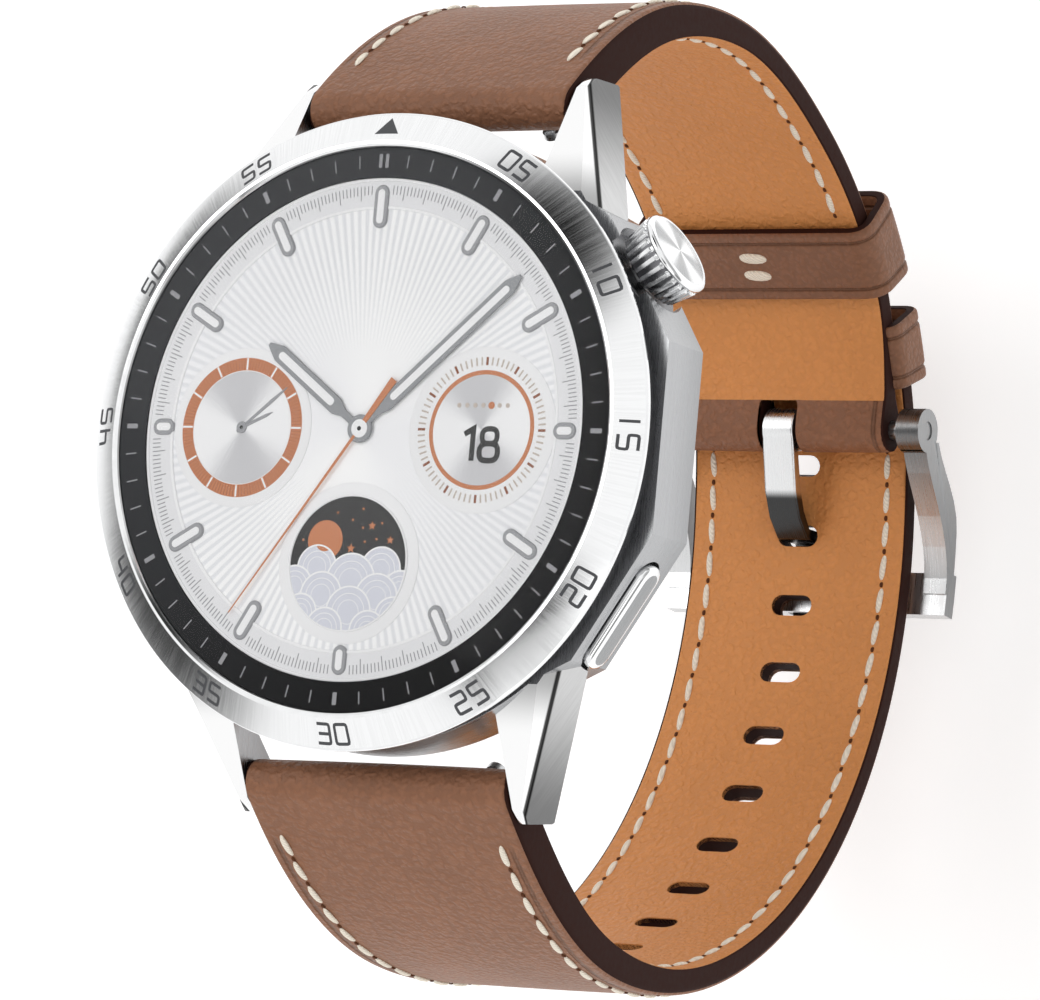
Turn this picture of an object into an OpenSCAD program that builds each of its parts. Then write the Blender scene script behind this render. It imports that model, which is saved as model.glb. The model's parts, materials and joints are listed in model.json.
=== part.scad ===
// Round smartwatch on a buckled two-piece leather strap.
// Origin: centre of the sensor window's outer face. +Z runs out through the dial,
// +Y runs to 12 o'clock and +X to 3 o'clock. All sizes in millimetres.

/* [Case] */
// Height of the dial plane above the sensor window's face
dial_z = 12.2; // [11.8:0.1:12.6]
// Outer radius of the bezel
bezel_r = 23; // [22.8:0.1:23.2]
// Radius of the cover glass
glass_r = 20.3; // [19.8:0.1:20.3]
// Thickness of the cover glass
glass_t = 0.45; // [0.35:0.05:0.6]
// Radius of the lit display, inside the black minute ring
display_r = 18.15; // [17.5:0.05:18.2]
// Radius of the round part of the steel middle case
case_r = 22.6; // [22.4:0.1:22.6]
// Radius of the cavity inside the middle case
cavity_r = 20.6; // [20.4:0.1:20.8]
// Distance of the flat guard at 3 o'clock from the dial's centre
guard_x = 23.1; // [22.9:0.1:23.2]

/* [Controls] */
// Angle of the crown above 3 o'clock, and of the button below it
control_angle = 32; // [30:1:33]
// Height of the crown's and button's axes above the sensor window's face
control_z = 7; // [6.8:0.1:7.2]
// Radius of the crown's end face
crown_r = 3.2; // [2.8:0.1:3.3]
// Travel of the crown when it is pressed
crown_travel = 0.4; // [0.3:0.1:0.4]
// Travel of the side button
button_travel = 0.35; // [0.25:0.05:0.35]
// Overall length of the side button
button_l = 8.6; // [7.6:0.2:9]
// Height of the side button
button_w = 2.5; // [2:0.1:2.6]

/* [Lugs] */
// Gap between the lugs, the nominal strap width being 22
lug_gap = 22.2; // [22.1:0.1:22.4]
// Distance of each spring bar from the dial's centre
bar_y = 24.8; // [24.6:0.1:25]
// Height of the spring bars above the sensor window's face
bar_z = 4.3; // [4.1:0.1:4.5]
// Reach of the lug tips from the dial's centre
lug_tip_y = 26.9; // [26.6:0.1:27.2]

/* [Strap] */
// Depth of the strap loop's centre below the dial plane
loop_depth = 32.5; // [32.3:0.1:32.7]
// Width of the strap at the lugs
strap_w_lug = 21.7; // [21.5:0.1:21.8]
// Width of the strap at the buckle
strap_w_end = 19; // [18.6:0.1:19]
// Thickness of the padded strap at the lugs
strap_t_lug = 3.5; // [3.4:0.1:3.6]
// Thickness of the short strap at the buckle
strap_t_short = 2.1; // [2:0.05:2.2]
// Thickness of the long strap along its holes
strap_t_long = 2; // [1.9:0.05:2.1]
// Thickness of the outer leather
outer_t = 0.8; // [0.7:0.05:0.85]
// Thickness of the lining leather
lining_t = 0.6; // [0.5:0.05:0.65]
// Number of punched holes in the long strap
hole_n = 10; // [8:1:11]

/* [Buckle] */
// Radius of the buckle's pin
pin_r = 0.75; // [0.7:0.05:0.8]
// Distance of the buckle pin from the loop's centre line, towards 12 o'clock
pin_y = 10.3; // [10.1:0.1:10.5]
// Depth of the buckle pin below the loop's centre
pin_drop = 31.5; // [31.3:0.1:31.7]
// Width of the tongue
tongue_w = 2.8; // [2.4:0.1:2.9]
// Thickness of the tongue
tongue_t = 0.9; // [0.8:0.05:0.95]

/* [Hidden] */

$fn = 96;
small_fn = 32;
fit = 0.05;
cut = 0.02;

// Heights in the case stack
mid_z0 = 4.6;
mid_z1 = 9.6;
bezel_top_z = dial_z + 0.3;
ring_z = dial_z - 0.3;
lug_in = lug_gap / 2;

// Strap loop: a point at an angle from straight up, turning towards 12 o'clock
loop_z = dial_z - loop_depth;
function loop_pt(a, r) = [r * sin(a), loop_z + r * cos(a)];
function smooth(a, b, x) = let(t = min(1, max(0, (x - a) / (b - a)))) t * t * (3 - 2 * t);
function mix(a, b, t) = a + (b - a) * t;
bar_a = atan2(bar_y, bar_z - loop_z);
bar_r = norm([bar_y, bar_z - loop_z]);
pin_a = 180 - atan2(pin_y, pin_drop);
pin_path_r = norm([pin_y, pin_drop]);
pin_z = loop_z - pin_drop;
keeper_r = 35;
long_path_r = 36;

// Radius of each strap's middle line, its thickness and its half width, at an angle along it.
// The short strap turns towards 12 o'clock and ends at the pin; the long strap turns the
// other way, passes outside the pin and ends in the fixed keeper.
function short_r(a) = bar_r + (keeper_r + 0.7 - bar_r) * smooth(bar_a, 75, a)
    - 0.7 * smooth(92, 120, a) - (keeper_r - pin_path_r) * smooth(143, pin_a, a);
function short_t(a) = strap_t_lug - (strap_t_lug - strap_t_short) * smooth(bar_a, 105, a)
    + (2 * wrap_r - strap_t_short) * smooth(156, pin_a, a);
function long_r(a) = bar_r + (long_path_r - bar_r) * smooth(bar_a, 78, a) + 0.3 * smooth(186, 198, a)
    + 0.9 * smooth(203, 214, a);
function long_t(a) = strap_t_lug - (strap_t_lug - strap_t_long) * smooth(bar_a, 105, a);
function half_w(a) = mix(strap_w_lug, strap_w_end, smooth(bar_a, 118, a)) / 2;

// Ends of the layers, as angles along the straps
turn_in = 5;
step_a = 0.02;
tail_a = 212.5;
tail_round = 9;
fold_a = 157;

wrap_r = 1.8;
barrel_r = 0.9;
rod_r = 0.45;
tip_x = 12.2;
release_travel = 1.2;
slot_half_w = 1.7;
slot_r = 2.7;

// Holes in the long strap, as angles along it; the tongue stands in hole_in_use
hole_step = 9.2;
hole_in_use = 183.6;
hole_l = 3.6;
hole_w = 1.7;

keeper_t = 0.9;
keeper_gap = 0.25;
free_keeper_a = 137.6;
keeper_half_a = 5.3;
fixed_keeper_a = 152.3;
fixed_half_a = 4.4;
fixed_keeper_r = 39.1;

// ---------- helpers ----------

// Solid swept along a strap between two offsets from its middle line. side is 1 for the
// short strap and -1 for the long one; rows are [angle, low offset, high offset, half width].
module swept(side, kind, rows) {
    n = len(rows);
    pts = [for (row = rows)
        let(r = kind == "short" ? short_r(row[0]) : long_r(row[0]))
        let(lo = loop_pt(row[0], r + row[1]), hi = loop_pt(row[0], r + row[2]))
        each [[-row[3], side * lo[0], lo[1]], [row[3], side * lo[0], lo[1]],
            [row[3], side * hi[0], hi[1]], [-row[3], side * hi[0], hi[1]]]];
    walls = [for (i = [0:n - 2], k = [0:3])
        let(a = 4 * i + k, b = 4 * i + (k + 1) % 4)
        each [[a, b, b + 4], [a, b + 4, a + 4]]];
    caps = [[3, 2, 1, 0], [4 * n - 4, 4 * n - 3, 4 * n - 2, 4 * n - 1]];
    faces = concat(walls, caps);
    polyhedron(points = pts, faces = side > 0 ? [for (f = faces) [for (k = [len(f) - 1:-1:0]) f[k]]] : faces);
}

function angles(a0, a1, step) = let(n = ceil((a1 - a0) / step)) [for (i = [0:n]) mix(a0, a1, i / n)];

// Local Z along a radius of the dial at the given angle, at the controls' height
module on_radius(angle) {
    rotate([0, 0, angle]) translate([0, 0, control_z]) rotate([0, 90, 0]) children();
}

module tube(r_out, r_in, z0, z1) {
    translate([0, 0, z0]) difference() {
        cylinder(r = r_out, h = z1 - z0);
        translate([0, 0, -1]) cylinder(r = r_in, h = z1 - z0 + 2);
    }
}

module disc(r, z0, z1) {
    translate([0, 0, z0]) cylinder(r = r, h = z1 - z0);
}

module block(x0, x1, y0, y1, z0, z1) {
    translate([x0, y0, z0]) cube([x1 - x0, y1 - y0, z1 - z0]);
}

module pill(l, w) {
    square([w, l - w], center = true);
    for (s = [-1, 1]) translate([0, s * (l - w) / 2]) circle(d = w, $fn = small_fn);
}

// Cylinder along X between two x values, at a place in the Y-Z plane
module x_rod(r, x0, x1, y, z) {
    translate([x0, y, z]) rotate([0, 90, 0]) cylinder(r = r, h = x1 - x0, $fn = 48);
}

// Outline in the Y-Z plane extruded along X
module side_plate(x0, x1) {
    translate([x0, 0, 0]) rotate([90, 0, 90]) linear_extrude(height = x1 - x0) children();
}

module torus(r, minor, z) {
    translate([0, 0, z]) rotate_extrude() translate([r, 0]) circle(r = minor, $fn = small_fn);
}

// ---------- case ----------

facet_d = 23.2;
pocket_r = 3.5;
pocket_floor = 22.5;
button_floor = 22.2;
tube_r = 1.6;
post_r = 0.5;
post_y = 2.6;
lug_root_y = 15;
lug_root = [17.5, 15.8];
tangent_pt = [20.4, 9.7];

// Slanted outer flank of the lug: a point on it, its lean and its turn in plan
flank_at = [14.5, 18.7, 9];
flank_tilt = 25.5;
flank_turn = 34.1;
// Curve of the lug's outer side in plan, from root to tip
function lug_curve(t) = let(a = lug_root, b = [17.2, 20.6], c = [14, lug_tip_y])
    (1 - t) * (1 - t) * a + 2 * t * (1 - t) * b + t * t * c;

module lug_plan() {
    polygon(concat([[lug_in, lug_root_y], [lug_root[0] - 0.5, lug_root_y]],
        [for (i = [0:8]) lug_curve(i / 8)],
        [[13.8, lug_tip_y + 1], [lug_in, lug_tip_y + 1]]));
}

module lug_side() {
    polygon([[lug_root_y, mid_z0], [lug_root_y, 11], [26, 4.97], [lug_tip_y, 3.7],
        [lug_tip_y - 0.2, 2.3], [25.5, 1.6], [23.2, 2.1], [21, mid_z0]]);
}

module lug_front() {
    polygon([[lug_in - 1, 0.2], [lug_in, 0.2], [12.4, 1.5], [18.5, 8.1], [18.5, 13], [lug_in - 1, 13]]);
}

module lug() {
    intersection() {
        linear_extrude(height = 14) lug_plan();
        side_plate(lug_in, 19) lug_side();
        translate([0, 40, 0]) rotate([90, 0, 0]) linear_extrude(height = 40) lug_front();
        translate(flank_at) rotate([0, -flank_tilt, flank_turn]) translate([-30, -40, -40])
            cube([30, 80, 80]);
    }
}

module case_outline() {
    intersection() {
        union() {
            circle(r = case_r);
            polygon([[0, 0], [lug_in, 19], lug_root, [guard_x, 6.8], [guard_x, -6.8],
                [lug_root[0], -lug_root[1]], [lug_in, -19]]);
            for (m = [0, 1]) mirror([0, m]) polygon([[0, 0], [-tangent_pt[0], tangent_pt[1]],
                [-lug_root[0], lug_root[1]], [-lug_in, 19]]);
        }
        intersection_for (s = [-1, 1]) rotate(s * control_angle)
            translate([-50, -50]) square([50 + facet_d, 100]);
        difference() {
            square(60, center = true);
            for (s = [-1, 1]) translate([-lug_in, s * case_r - (s < 0 ? 10 : 0)]) square([lug_gap, 10]);
        }
    }
}

module mid_frame() color("silver") difference() {
    union() {
        translate([0, 0, mid_z0]) linear_extrude(height = mid_z1 - mid_z0) case_outline();
        for (sx = [0, 1], sy = [0, 1]) mirror([sx, 0, 0]) mirror([0, sy, 0]) lug();
    }
    disc(cavity_r, mid_z0 - 5, mid_z1 - 0.8);
    disc(glass_r - 0.3, mid_z1 - 1, mid_z1 + 1);
    tube(bezel_r + 0.15, 0.01, mid_z1, 13);
    on_radius(control_angle) {
        translate([0, 0, 18]) cylinder(r = tube_r, h = 8, $fn = 48);
        translate([0, 0, pocket_floor]) cylinder(r = pocket_r, h = 4);
    }
    on_radius(-control_angle) {
        translate([0, 0, button_floor]) linear_extrude(height = 4) pill(button_l + 0.5, button_w + 0.5);
        for (s = [-1, 1]) translate([0, s * post_y, 18]) cylinder(r = post_r + fit, h = 8, $fn = 48);
    }
    for (s = [-1, 1]) x_rod(rod_r + fit, -tip_x - 0.2, tip_x + 0.2, s * bar_y, bar_z);
}

module bezel() color("gainsboro") rotate_extrude() polygon([[glass_r + 0.05, mid_z1 + 0.4],
    [glass_r + 0.05, dial_z + 0.05], [glass_r + 0.45, bezel_top_z], [bezel_r, dial_z - 0.85],
    [bezel_r, dial_z - 1.1], [bezel_r - 0.8, dial_z - 1.7], [bezel_r - 0.8, mid_z1],
    [glass_r - 0.3, mid_z1], [glass_r - 0.3, mid_z1 + 0.4]]);

module cover_glass() color("white", 0.3) rotate_extrude() polygon([[0, dial_z + 0.03],
    [glass_r, dial_z + 0.03], [glass_r, dial_z + glass_t - 0.15],
    [glass_r - 0.3, dial_z + glass_t], [0, dial_z + glass_t]]);

module minute_ring() color("black") tube(glass_r, display_r, ring_z, dial_z - 0.03);

module display_module() color("whitesmoke") {
    disc(display_r, ring_z - 1, dial_z - 0.08);
    tube(display_r + 1.2, display_r - 0.5, ring_z - 1, ring_z);
}

module display_bracket() color("dimgray") tube(glass_r - 0.85, display_r - 3, mid_z1 + 0.45, ring_z - 1);

module display_gasket() color("darkslategray") tube(glass_r, glass_r - 0.8, mid_z1 + 0.45, ring_z);

// Top of the rear case's rim, under the crown's clip
rim_z = mid_z0 + 0.4;

module rear_case() color([0.12, 0.12, 0.13]) rotate_extrude() polygon([[13, 1.6], [19.2, 1.6],
    [20.6, 2.2], [21.8, mid_z0], [cavity_r, mid_z0], [cavity_r, rim_z], [cavity_r - 0.7, rim_z],
    [cavity_r - 0.9, 3.2], [19, 2.6], [11.4, 2.6], [11.4, 2.2], [13, 2.2]]);

module rear_gasket() color("darkslategray") tube(cavity_r, cavity_r - 0.7, rim_z, rim_z + 0.35);

module sensor_ring() color([0.2, 0.2, 0.22]) rotate_extrude() polygon([[13.05, 0.45], [13.8, 0.6],
    [16, 1.3], [16.4, 1.6], [13.05, 1.6]]);

module sensor_window() color("black", 0.8) rotate_extrude() polygon([[0, 0], [10.5, 0],
    [12.2, 0.15], [13, 0.45], [13, 2.2], [11.4, 2.2], [11.4, 0.8], [0, 0.8]]);

module sensor_board() color("green") disc(11.2, 1.5, 2.1);

module sensor_leds() color("lime") for (k = [0:2]) rotate(120 * k)
    block(-1.1, 1.1, 2.2, 4.2, 0.9, 1.5);

module photodiodes() color("darkblue") for (k = [0:3]) rotate(90 * k + 45)
    block(-1.4, 1.4, 6.2, 8.6, 0.9, 1.5);

module charging_coil() color("peru") tube(18.2, 14.2, 2.65, 3.15);

module battery() color("slategray") block(-12.9, 9.5, -9.4, 10.9, 3.3, 7.1);

module inner_chassis() color("dimgray") difference() {
    union() {
        tube(18.8, 17, 3.2, 7.4);
        intersection() {
            disc(18, 3.2, 7.4);
            union() {
                block(-20, 20, -11, -10, 3, 7.6);
                block(-20, 10.8, 11.4, 12.4, 3, 7.6);
            }
        }
    }
    block(10.8, 22, 2, 20, 5, 9);
    block(10.8, 22, -20, -2, 5, 9);
}

module main_board() color("darkgreen") difference() {
    disc(18.6, 7.45, 8.15);
    block(13.5, 22, 4, 20, 7, 9);
    block(13.5, 22, -20, -4, 7, 9);
    for (k = [0:3]) rotate(90 * k + 22) translate([0, 16.2, 7]) cylinder(r = 0.7, h = 2, $fn = small_fn);
}

module board_shields() color("lightgray") {
    block(-11, -1, -8, 6, 8.15, 8.75);
    block(1, 10, -3, 8, 8.15, 8.75);
    block(-6, 6, -13, -9, 8.15, 8.75);
}

module chassis_screws() color("silver") for (k = [0:3]) rotate(90 * k + 22) translate([0, 16.2, 0]) {
    translate([0, 0, 7.42]) cylinder(r = 0.65, h = 0.75, $fn = small_fn);
    translate([0, 0, 8.17]) cylinder(r = 1.1, h = 0.5, $fn = small_fn);
}

module haptic_motor() color("gray") block(-7.2, 4, -15.2, -11.2, 3.3, 6.6);

module speaker() color([0.25, 0.25, 0.27]) block(-15.9, -14.2, -5.5, 5.5, 3.4, 6.8);

module microphone() color("goldenrod") block(10.2, 13.2, -1.2, 1.2, 3.4, 4.6);

module display_flex() color("orange") {
    block(-3, 3, 14.2, 14.4, 8.15, ring_z - 1);
    block(-3, 3, 12.8, 14.2, 8.15, 8.4);
}

// ---------- crown ----------

cap_base = 23.45;
cap_end = 25.85;
stem_r = 0.95;
groove_r = 0.62;
clip_x = 19.85;
clip_t = 0.35;
ring_seats = [21.4, 22.1];
stem_start = 19.6;
switch_top = 18.8;

module crown_tube() color("silver") on_radius(control_angle) tube(tube_r, stem_r + fit, 20.9, pocket_floor);

module crown_switch() color([0.3, 0.3, 0.32]) on_radius(control_angle) {
    translate([-1.4, -1.8, switch_top - 1.6]) cube([2.8, 3.6, 1.6]);
    translate([0, 0, switch_top])
        cylinder(r = 0.6, h = stem_start - crown_travel - fit - switch_top, $fn = small_fn);
}

module crown_clip() color("gray") on_radius(control_angle)
    tube(1.5, groove_r + fit, clip_x + fit, clip_x + clip_t + fit);

module crown_stem() color("silver") on_radius(control_angle) difference() {
    translate([0, 0, stem_start]) cylinder(r = stem_r, h = 24.5 - stem_start, $fn = 48);
    tube(2, groove_r, clip_x, clip_x + clip_t + 2 * fit);
    for (z = ring_seats) tube(2, groove_r, z - 0.22, z + 0.22);
}

module crown_o_rings() color("black") on_radius(control_angle)
    for (z = ring_seats) torus(0.8, 0.17, z);

module crown_cap() color("silver") on_radius(control_angle) rotate_extrude() polygon([[stem_r, cap_base],
    [2.4, cap_base], [2.75, cap_base + 0.3], [crown_r, cap_end - 0.55], [crown_r, cap_end - 0.25],
    [crown_r - 0.35, cap_end], [crown_r - 0.5, cap_end - 0.15], [0, cap_end - 0.15],
    [0, 24.5], [stem_r, 24.5]]);

module crown_face() color("lightgray") on_radius(control_angle) translate([0, 0, cap_end - 0.15])
    cylinder(r = crown_r - 0.55, h = 0.12);

// ---------- side button ----------

button_base = 22.75;
button_top = 23.85;
post_end = 19.7;

module button_switch() color([0.3, 0.3, 0.32]) on_radius(-control_angle) {
    translate([-1.2, -1.6, switch_top - 1.4]) cube([2.4, 3.2, 1.4]);
    translate([0, 0, switch_top])
        cylinder(r = 0.5, h = post_end - button_travel - fit - switch_top, $fn = small_fn);
}

module side_button() color("silver") on_radius(-control_angle) {
    translate([0, 0, button_base]) linear_extrude(height = button_top - button_base - 0.25)
        pill(button_l, button_w);
    translate([0, 0, button_top - 0.25 - cut]) linear_extrude(height = 0.25 + cut)
        pill(button_l - 0.5, button_w - 0.5);
    for (s = [-1, 1]) translate([0, s * post_y, 0]) difference() {
        translate([0, 0, post_end]) cylinder(r = post_r, h = button_base - post_end + cut, $fn = 48);
        tube(2, post_r - 0.2, 21.15, 21.45);
    }
}

module button_o_rings() color("black") on_radius(-control_angle)
    for (s = [-1, 1]) translate([0, s * post_y, 0]) torus(0.42, 0.11, 21.3);

module button_clip() color("gray") on_radius(-control_angle) translate([0, 0, post_end]) difference() {
    linear_extrude(height = 0.35) pill(6.6, 1.6);
    for (s = [-1, 1]) translate([0, s * post_y, -1]) cylinder(r = post_r, h = 2, $fn = 48);
}

// ---------- spring bars ----------

lever_x = 8.2;
slot_x0 = lever_x - release_travel - 0.8;
slot_x1 = lever_x + 0.8;
rod_x0 = 6.9;
barrel_bore_x = 5.4;
lever_w = 0.9;
lever_reach = 2.5;

// Direction from a bar towards the loop's centre, where the lever stands out
module towards_loop(side) {
    translate([0, side * bar_y, bar_z]) rotate([side * (180 - bar_a), 0, 0]) children();
}

module lever_slot(side) {
    towards_loop(side) translate([slot_x0, -lever_w / 2 - 0.15, 0])
        cube([slot_x1 - slot_x0, lever_w + 0.3, 4]);
}

// Barrel of a bar from x0 to x1, bored for the sliding rod and slotted for its lever
module barrel(side, x0, x1) {
    difference() {
        x_rod(barrel_r, x0, x1, side * bar_y, bar_z);
        x_rod(rod_r + fit, barrel_bore_x, x1 + 1, side * bar_y, bar_z);
        lever_slot(side);
    }
}

// Sliding rod out to rod_end, with the lever that pulls it back
module release(side, rod_end) {
    x_rod(rod_r, rod_x0, rod_end, side * bar_y, bar_z);
    towards_loop(side) {
        translate([lever_x - lever_w / 2, -lever_w / 2, 0]) cube([lever_w, lever_w, lever_reach - 0.3]);
        translate([lever_x, 0, lever_reach - 0.5]) cylinder(r = 0.75, h = 0.5, $fn = small_fn);
    }
}

module bar_12_barrel() color("silver") {
    barrel(1, -10.6, 10.6);
    x_rod(rod_r, -tip_x, -10.6 + cut, bar_y, bar_z);
}

module bar_12_release() color("silver") release(1, tip_x);

module bar_6_barrel() color("silver") barrel(-1, -11, 11);

module bar_6_release() color("silver") release(-1, 10.95);

module bar_6_tips() color("silver") {
    x_rod(rod_r + fit, 11.05, tip_x, -bar_y, bar_z);
    x_rod(rod_r + fit, -tip_x, -11.05, -bar_y, bar_z);
}

// ---------- straps ----------

layers_a = bar_a + turn_in;

// Rows of the round end of a strap, from its tip at the angle a, for an end of radius r
// whose centre is path_r from the loop's centre; way is 1 where the strap starts, -1 where it ends
function round_rows(a, r, path_r, way) = [for (t = way > 0 ? [14:19:71] : [71:-19:14])
    [a - way * r * cos(t) / path_r * 180 / PI, -r * sin(t), r * sin(t), half_w(a)]];

// Rows of the folded end round a spring bar, at the strap's full thickness
function lug_rows() = concat(round_rows(bar_a, strap_t_lug / 2, bar_r, 1),
    [for (a = angles(bar_a, layers_a, 2)) [a, -short_t(a) / 2, short_t(a) / 2, half_w(a)]]);

module bar_tunnel(side) {
    x_rod(barrel_r, -20, 20, side * bar_y, bar_z);
    towards_loop(side) translate([slot_x0 - 0.3, -0.9, 0]) cube([slot_x1 - slot_x0 + 0.9, 1.8, 4]);
}

module short_outer() color([0.49, 0.36, 0.28]) difference() {
    swept(1, "short", concat(lug_rows(),
        [for (a = angles(layers_a + step_a, fold_a - step_a, 2.2))
            [a, short_t(a) / 2 - outer_t, short_t(a) / 2, half_w(a)]],
        [for (a = angles(fold_a, pin_a, 1.2))
            [a, -short_t(a) / 2, short_t(a) / 2, half_w(a)]],
        round_rows(pin_a, wrap_r, pin_path_r, -1)));
    bar_tunnel(1);
    x_rod(pin_r + fit, -20, 20, pin_y, pin_z);
    x_rod(slot_r, -slot_half_w, slot_half_w, pin_y, pin_z);
}

module short_filler() color("tan") swept(1, "short", [for (a = angles(layers_a, fold_a, 2.2))
    [a, lining_t - short_t(a) / 2, short_t(a) / 2 - outer_t, half_w(a)]]);

module short_lining() color([0.78, 0.51, 0.29]) swept(1, "short",
    [for (a = angles(layers_a, fold_a, 2.2))
    [a, -short_t(a) / 2, lining_t - short_t(a) / 2, half_w(a)]]);

// Half width of the long strap, which rounds off at its tail
function tail_w(a) = let(u = max(0, (a - tail_a + tail_round) / tail_round)) half_w(a) * sqrt(1.02 - u * u * 0.8);

module strap_hole(a) {
    p = loop_pt(a, long_path_r);
    translate([0, -p[0], p[1]]) rotate([a, 0, 0]) linear_extrude(height = 8, center = true)
        rotate(90) pill(hole_l, hole_w);
}

module long_holes() {
    for (i = [-1:hole_n - 2]) strap_hole(hole_in_use - hole_step * i);
}

module long_outer() color([0.49, 0.36, 0.28]) difference() {
    swept(-1, "long", concat(lug_rows(),
        [for (a = angles(layers_a + step_a, tail_a, 2.2))
            [a, long_t(a) / 2 - outer_t, long_t(a) / 2, tail_w(a)]]));
    bar_tunnel(-1);
    long_holes();
}

module long_filler() color("tan") difference() {
    swept(-1, "long", [for (a = angles(layers_a, tail_a, 2.2))
        [a, lining_t - long_t(a) / 2, long_t(a) / 2 - outer_t, tail_w(a)]]);
    long_holes();
}

module long_lining() color([0.78, 0.51, 0.29]) difference() {
    swept(-1, "long", [for (a = angles(layers_a, tail_a, 2.2))
        [a, -long_t(a) / 2, lining_t - long_t(a) / 2, tail_w(a)]]);
    long_holes();
}

// ---------- keepers ----------

module sector(a, half, r0, r1) {
    polygon(concat([for (t = [-1:0.25:1]) let(p = loop_pt(a + half * t, r1)) p],
        [for (t = [1:-0.25:-1]) let(p = loop_pt(a + half * t, r0)) p]));
}

strap_half = strap_w_end / 2;

module fixed_keeper() color([0.45, 0.32, 0.25]) {
    for (m = [0, 1]) mirror([m, 0, 0]) side_plate(strap_half, strap_half + keeper_t)
        sector(fixed_keeper_a, fixed_half_a, 33.6, fixed_keeper_r);
    side_plate(-strap_half - cut, strap_half + cut)
        sector(fixed_keeper_a, fixed_half_a, fixed_keeper_r - keeper_t, fixed_keeper_r);
}

module free_keeper() color([0.45, 0.32, 0.25]) difference() {
    side_plate(-strap_half - keeper_gap - keeper_t, strap_half + keeper_gap + keeper_t)
        sector(free_keeper_a, keeper_half_a, 32.8, 38.8);
    side_plate(-strap_half - keeper_gap, strap_half + keeper_gap)
        sector(free_keeper_a, keeper_half_a + 2, 32.8 + keeper_t, 38.8 - keeper_t);
}

// ---------- buckle ----------

arm_x0 = 10.6;
arm_x1 = 12.6;
head_r = 1.75;
cross_a = 183;
notch_r = 37.65;

function arm_outer(a) = mix(34.9, 38.15, smooth(163, 175, a));
function arm_inner(a) = mix(32.6, 36.95, smooth(163, 182, a));

module arm_outline() {
    way = [for (t = [0:10]) mix(pin_a + 2, cross_a, t / 10)];
    polygon(concat([for (a = way) loop_pt(a, arm_outer(a))],
        [for (t = [10:-1:0]) loop_pt(way[t], arm_inner(way[t]))]));
    translate([pin_y, pin_z]) circle(r = head_r, $fn = 64);
}

module buckle_frame() color("silver") difference() {
    union() {
        for (m = [0, 1]) mirror([m, 0, 0]) side_plate(arm_x0, arm_x1) arm_outline();
        side_plate(-arm_x1, arm_x1) sector(cross_a, 2.6, 37.15, 38.6);
    }
    x_rod(pin_r, -20, 20, pin_y, pin_z);
    side_plate(-tongue_w / 2 - 0.3, tongue_w / 2 + 0.3) sector(cross_a, 4, notch_r, 40);
}

module buckle_pin() color("silver") x_rod(pin_r, -arm_x1 + 0.1, arm_x1 - 0.1, pin_y, pin_z);

eye_r = pin_r + fit + tongue_t;
hole_y = -long_path_r * sin(hole_in_use);
rest_z = loop_z - notch_r - 0.06;

module buckle_tongue() color("gray") difference() {
    side_plate(-tongue_w / 2, tongue_w / 2) {
        translate([pin_y, pin_z]) circle(r = eye_r, $fn = 48);
        polygon([[pin_y, pin_z + eye_r], [5.2, pin_z + 0.2], [3.3, pin_z - 0.9],
            [hole_y - tongue_t / 2, pin_z - 2.6], [hole_y - tongue_t / 2, rest_z + 0.6],
            [1.1, rest_z], [-3.9, rest_z], [-4.1, rest_z - 0.5], [-3.8, rest_z - 0.7],
            [1.6, rest_z - 0.7], [hole_y + tongue_t / 2, rest_z + 0.2],
            [hole_y + tongue_t / 2, pin_z - 2.8], [4, pin_z - 1.6], [5.6, pin_z - 0.75],
            [pin_y, pin_z + 0.8]]);
    }
    x_rod(pin_r + fit, -20, 20, pin_y, pin_z);
}

mid_frame();
bezel();
cover_glass();
minute_ring();
display_module();
display_bracket();
display_gasket();
rear_case();
rear_gasket();
sensor_ring();
sensor_window();
sensor_board();
sensor_leds();
photodiodes();
charging_coil();
battery();
main_board();
board_shields();
inner_chassis();
haptic_motor();
speaker();
microphone();
chassis_screws();
display_flex();
crown_tube();
crown_switch();
crown_clip();
crown_stem();
crown_o_rings();
crown_cap();
crown_face();
button_switch();
side_button();
button_o_rings();
button_clip();
bar_12_barrel();
bar_12_release();
bar_6_barrel();
bar_6_release();
bar_6_tips();
short_outer();
short_filler();
short_lining();
long_outer();
long_filler();
long_lining();
fixed_keeper();
free_keeper();
buckle_frame();
buckle_pin();
buckle_tongue();
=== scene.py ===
import json
from math import atan2, ceil, cos, degrees, hypot, pi, radians, sin, sqrt

import bmesh
import bpy
from mathutils import Matrix, Vector


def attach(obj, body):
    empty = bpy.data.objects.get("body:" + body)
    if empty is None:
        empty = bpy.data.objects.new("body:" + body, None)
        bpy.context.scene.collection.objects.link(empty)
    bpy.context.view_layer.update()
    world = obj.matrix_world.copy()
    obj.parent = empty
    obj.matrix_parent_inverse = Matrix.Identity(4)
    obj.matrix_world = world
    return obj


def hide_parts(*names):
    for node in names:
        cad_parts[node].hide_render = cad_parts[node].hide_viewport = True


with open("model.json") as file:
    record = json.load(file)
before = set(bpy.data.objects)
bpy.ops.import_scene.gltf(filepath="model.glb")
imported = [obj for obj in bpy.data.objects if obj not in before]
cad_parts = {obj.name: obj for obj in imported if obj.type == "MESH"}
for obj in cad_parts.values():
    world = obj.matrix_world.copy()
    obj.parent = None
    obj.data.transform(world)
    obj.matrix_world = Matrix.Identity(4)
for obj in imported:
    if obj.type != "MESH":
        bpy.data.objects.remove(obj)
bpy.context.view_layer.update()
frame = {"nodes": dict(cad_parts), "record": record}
MM = 0.001
TAU = 2 * pi

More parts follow.
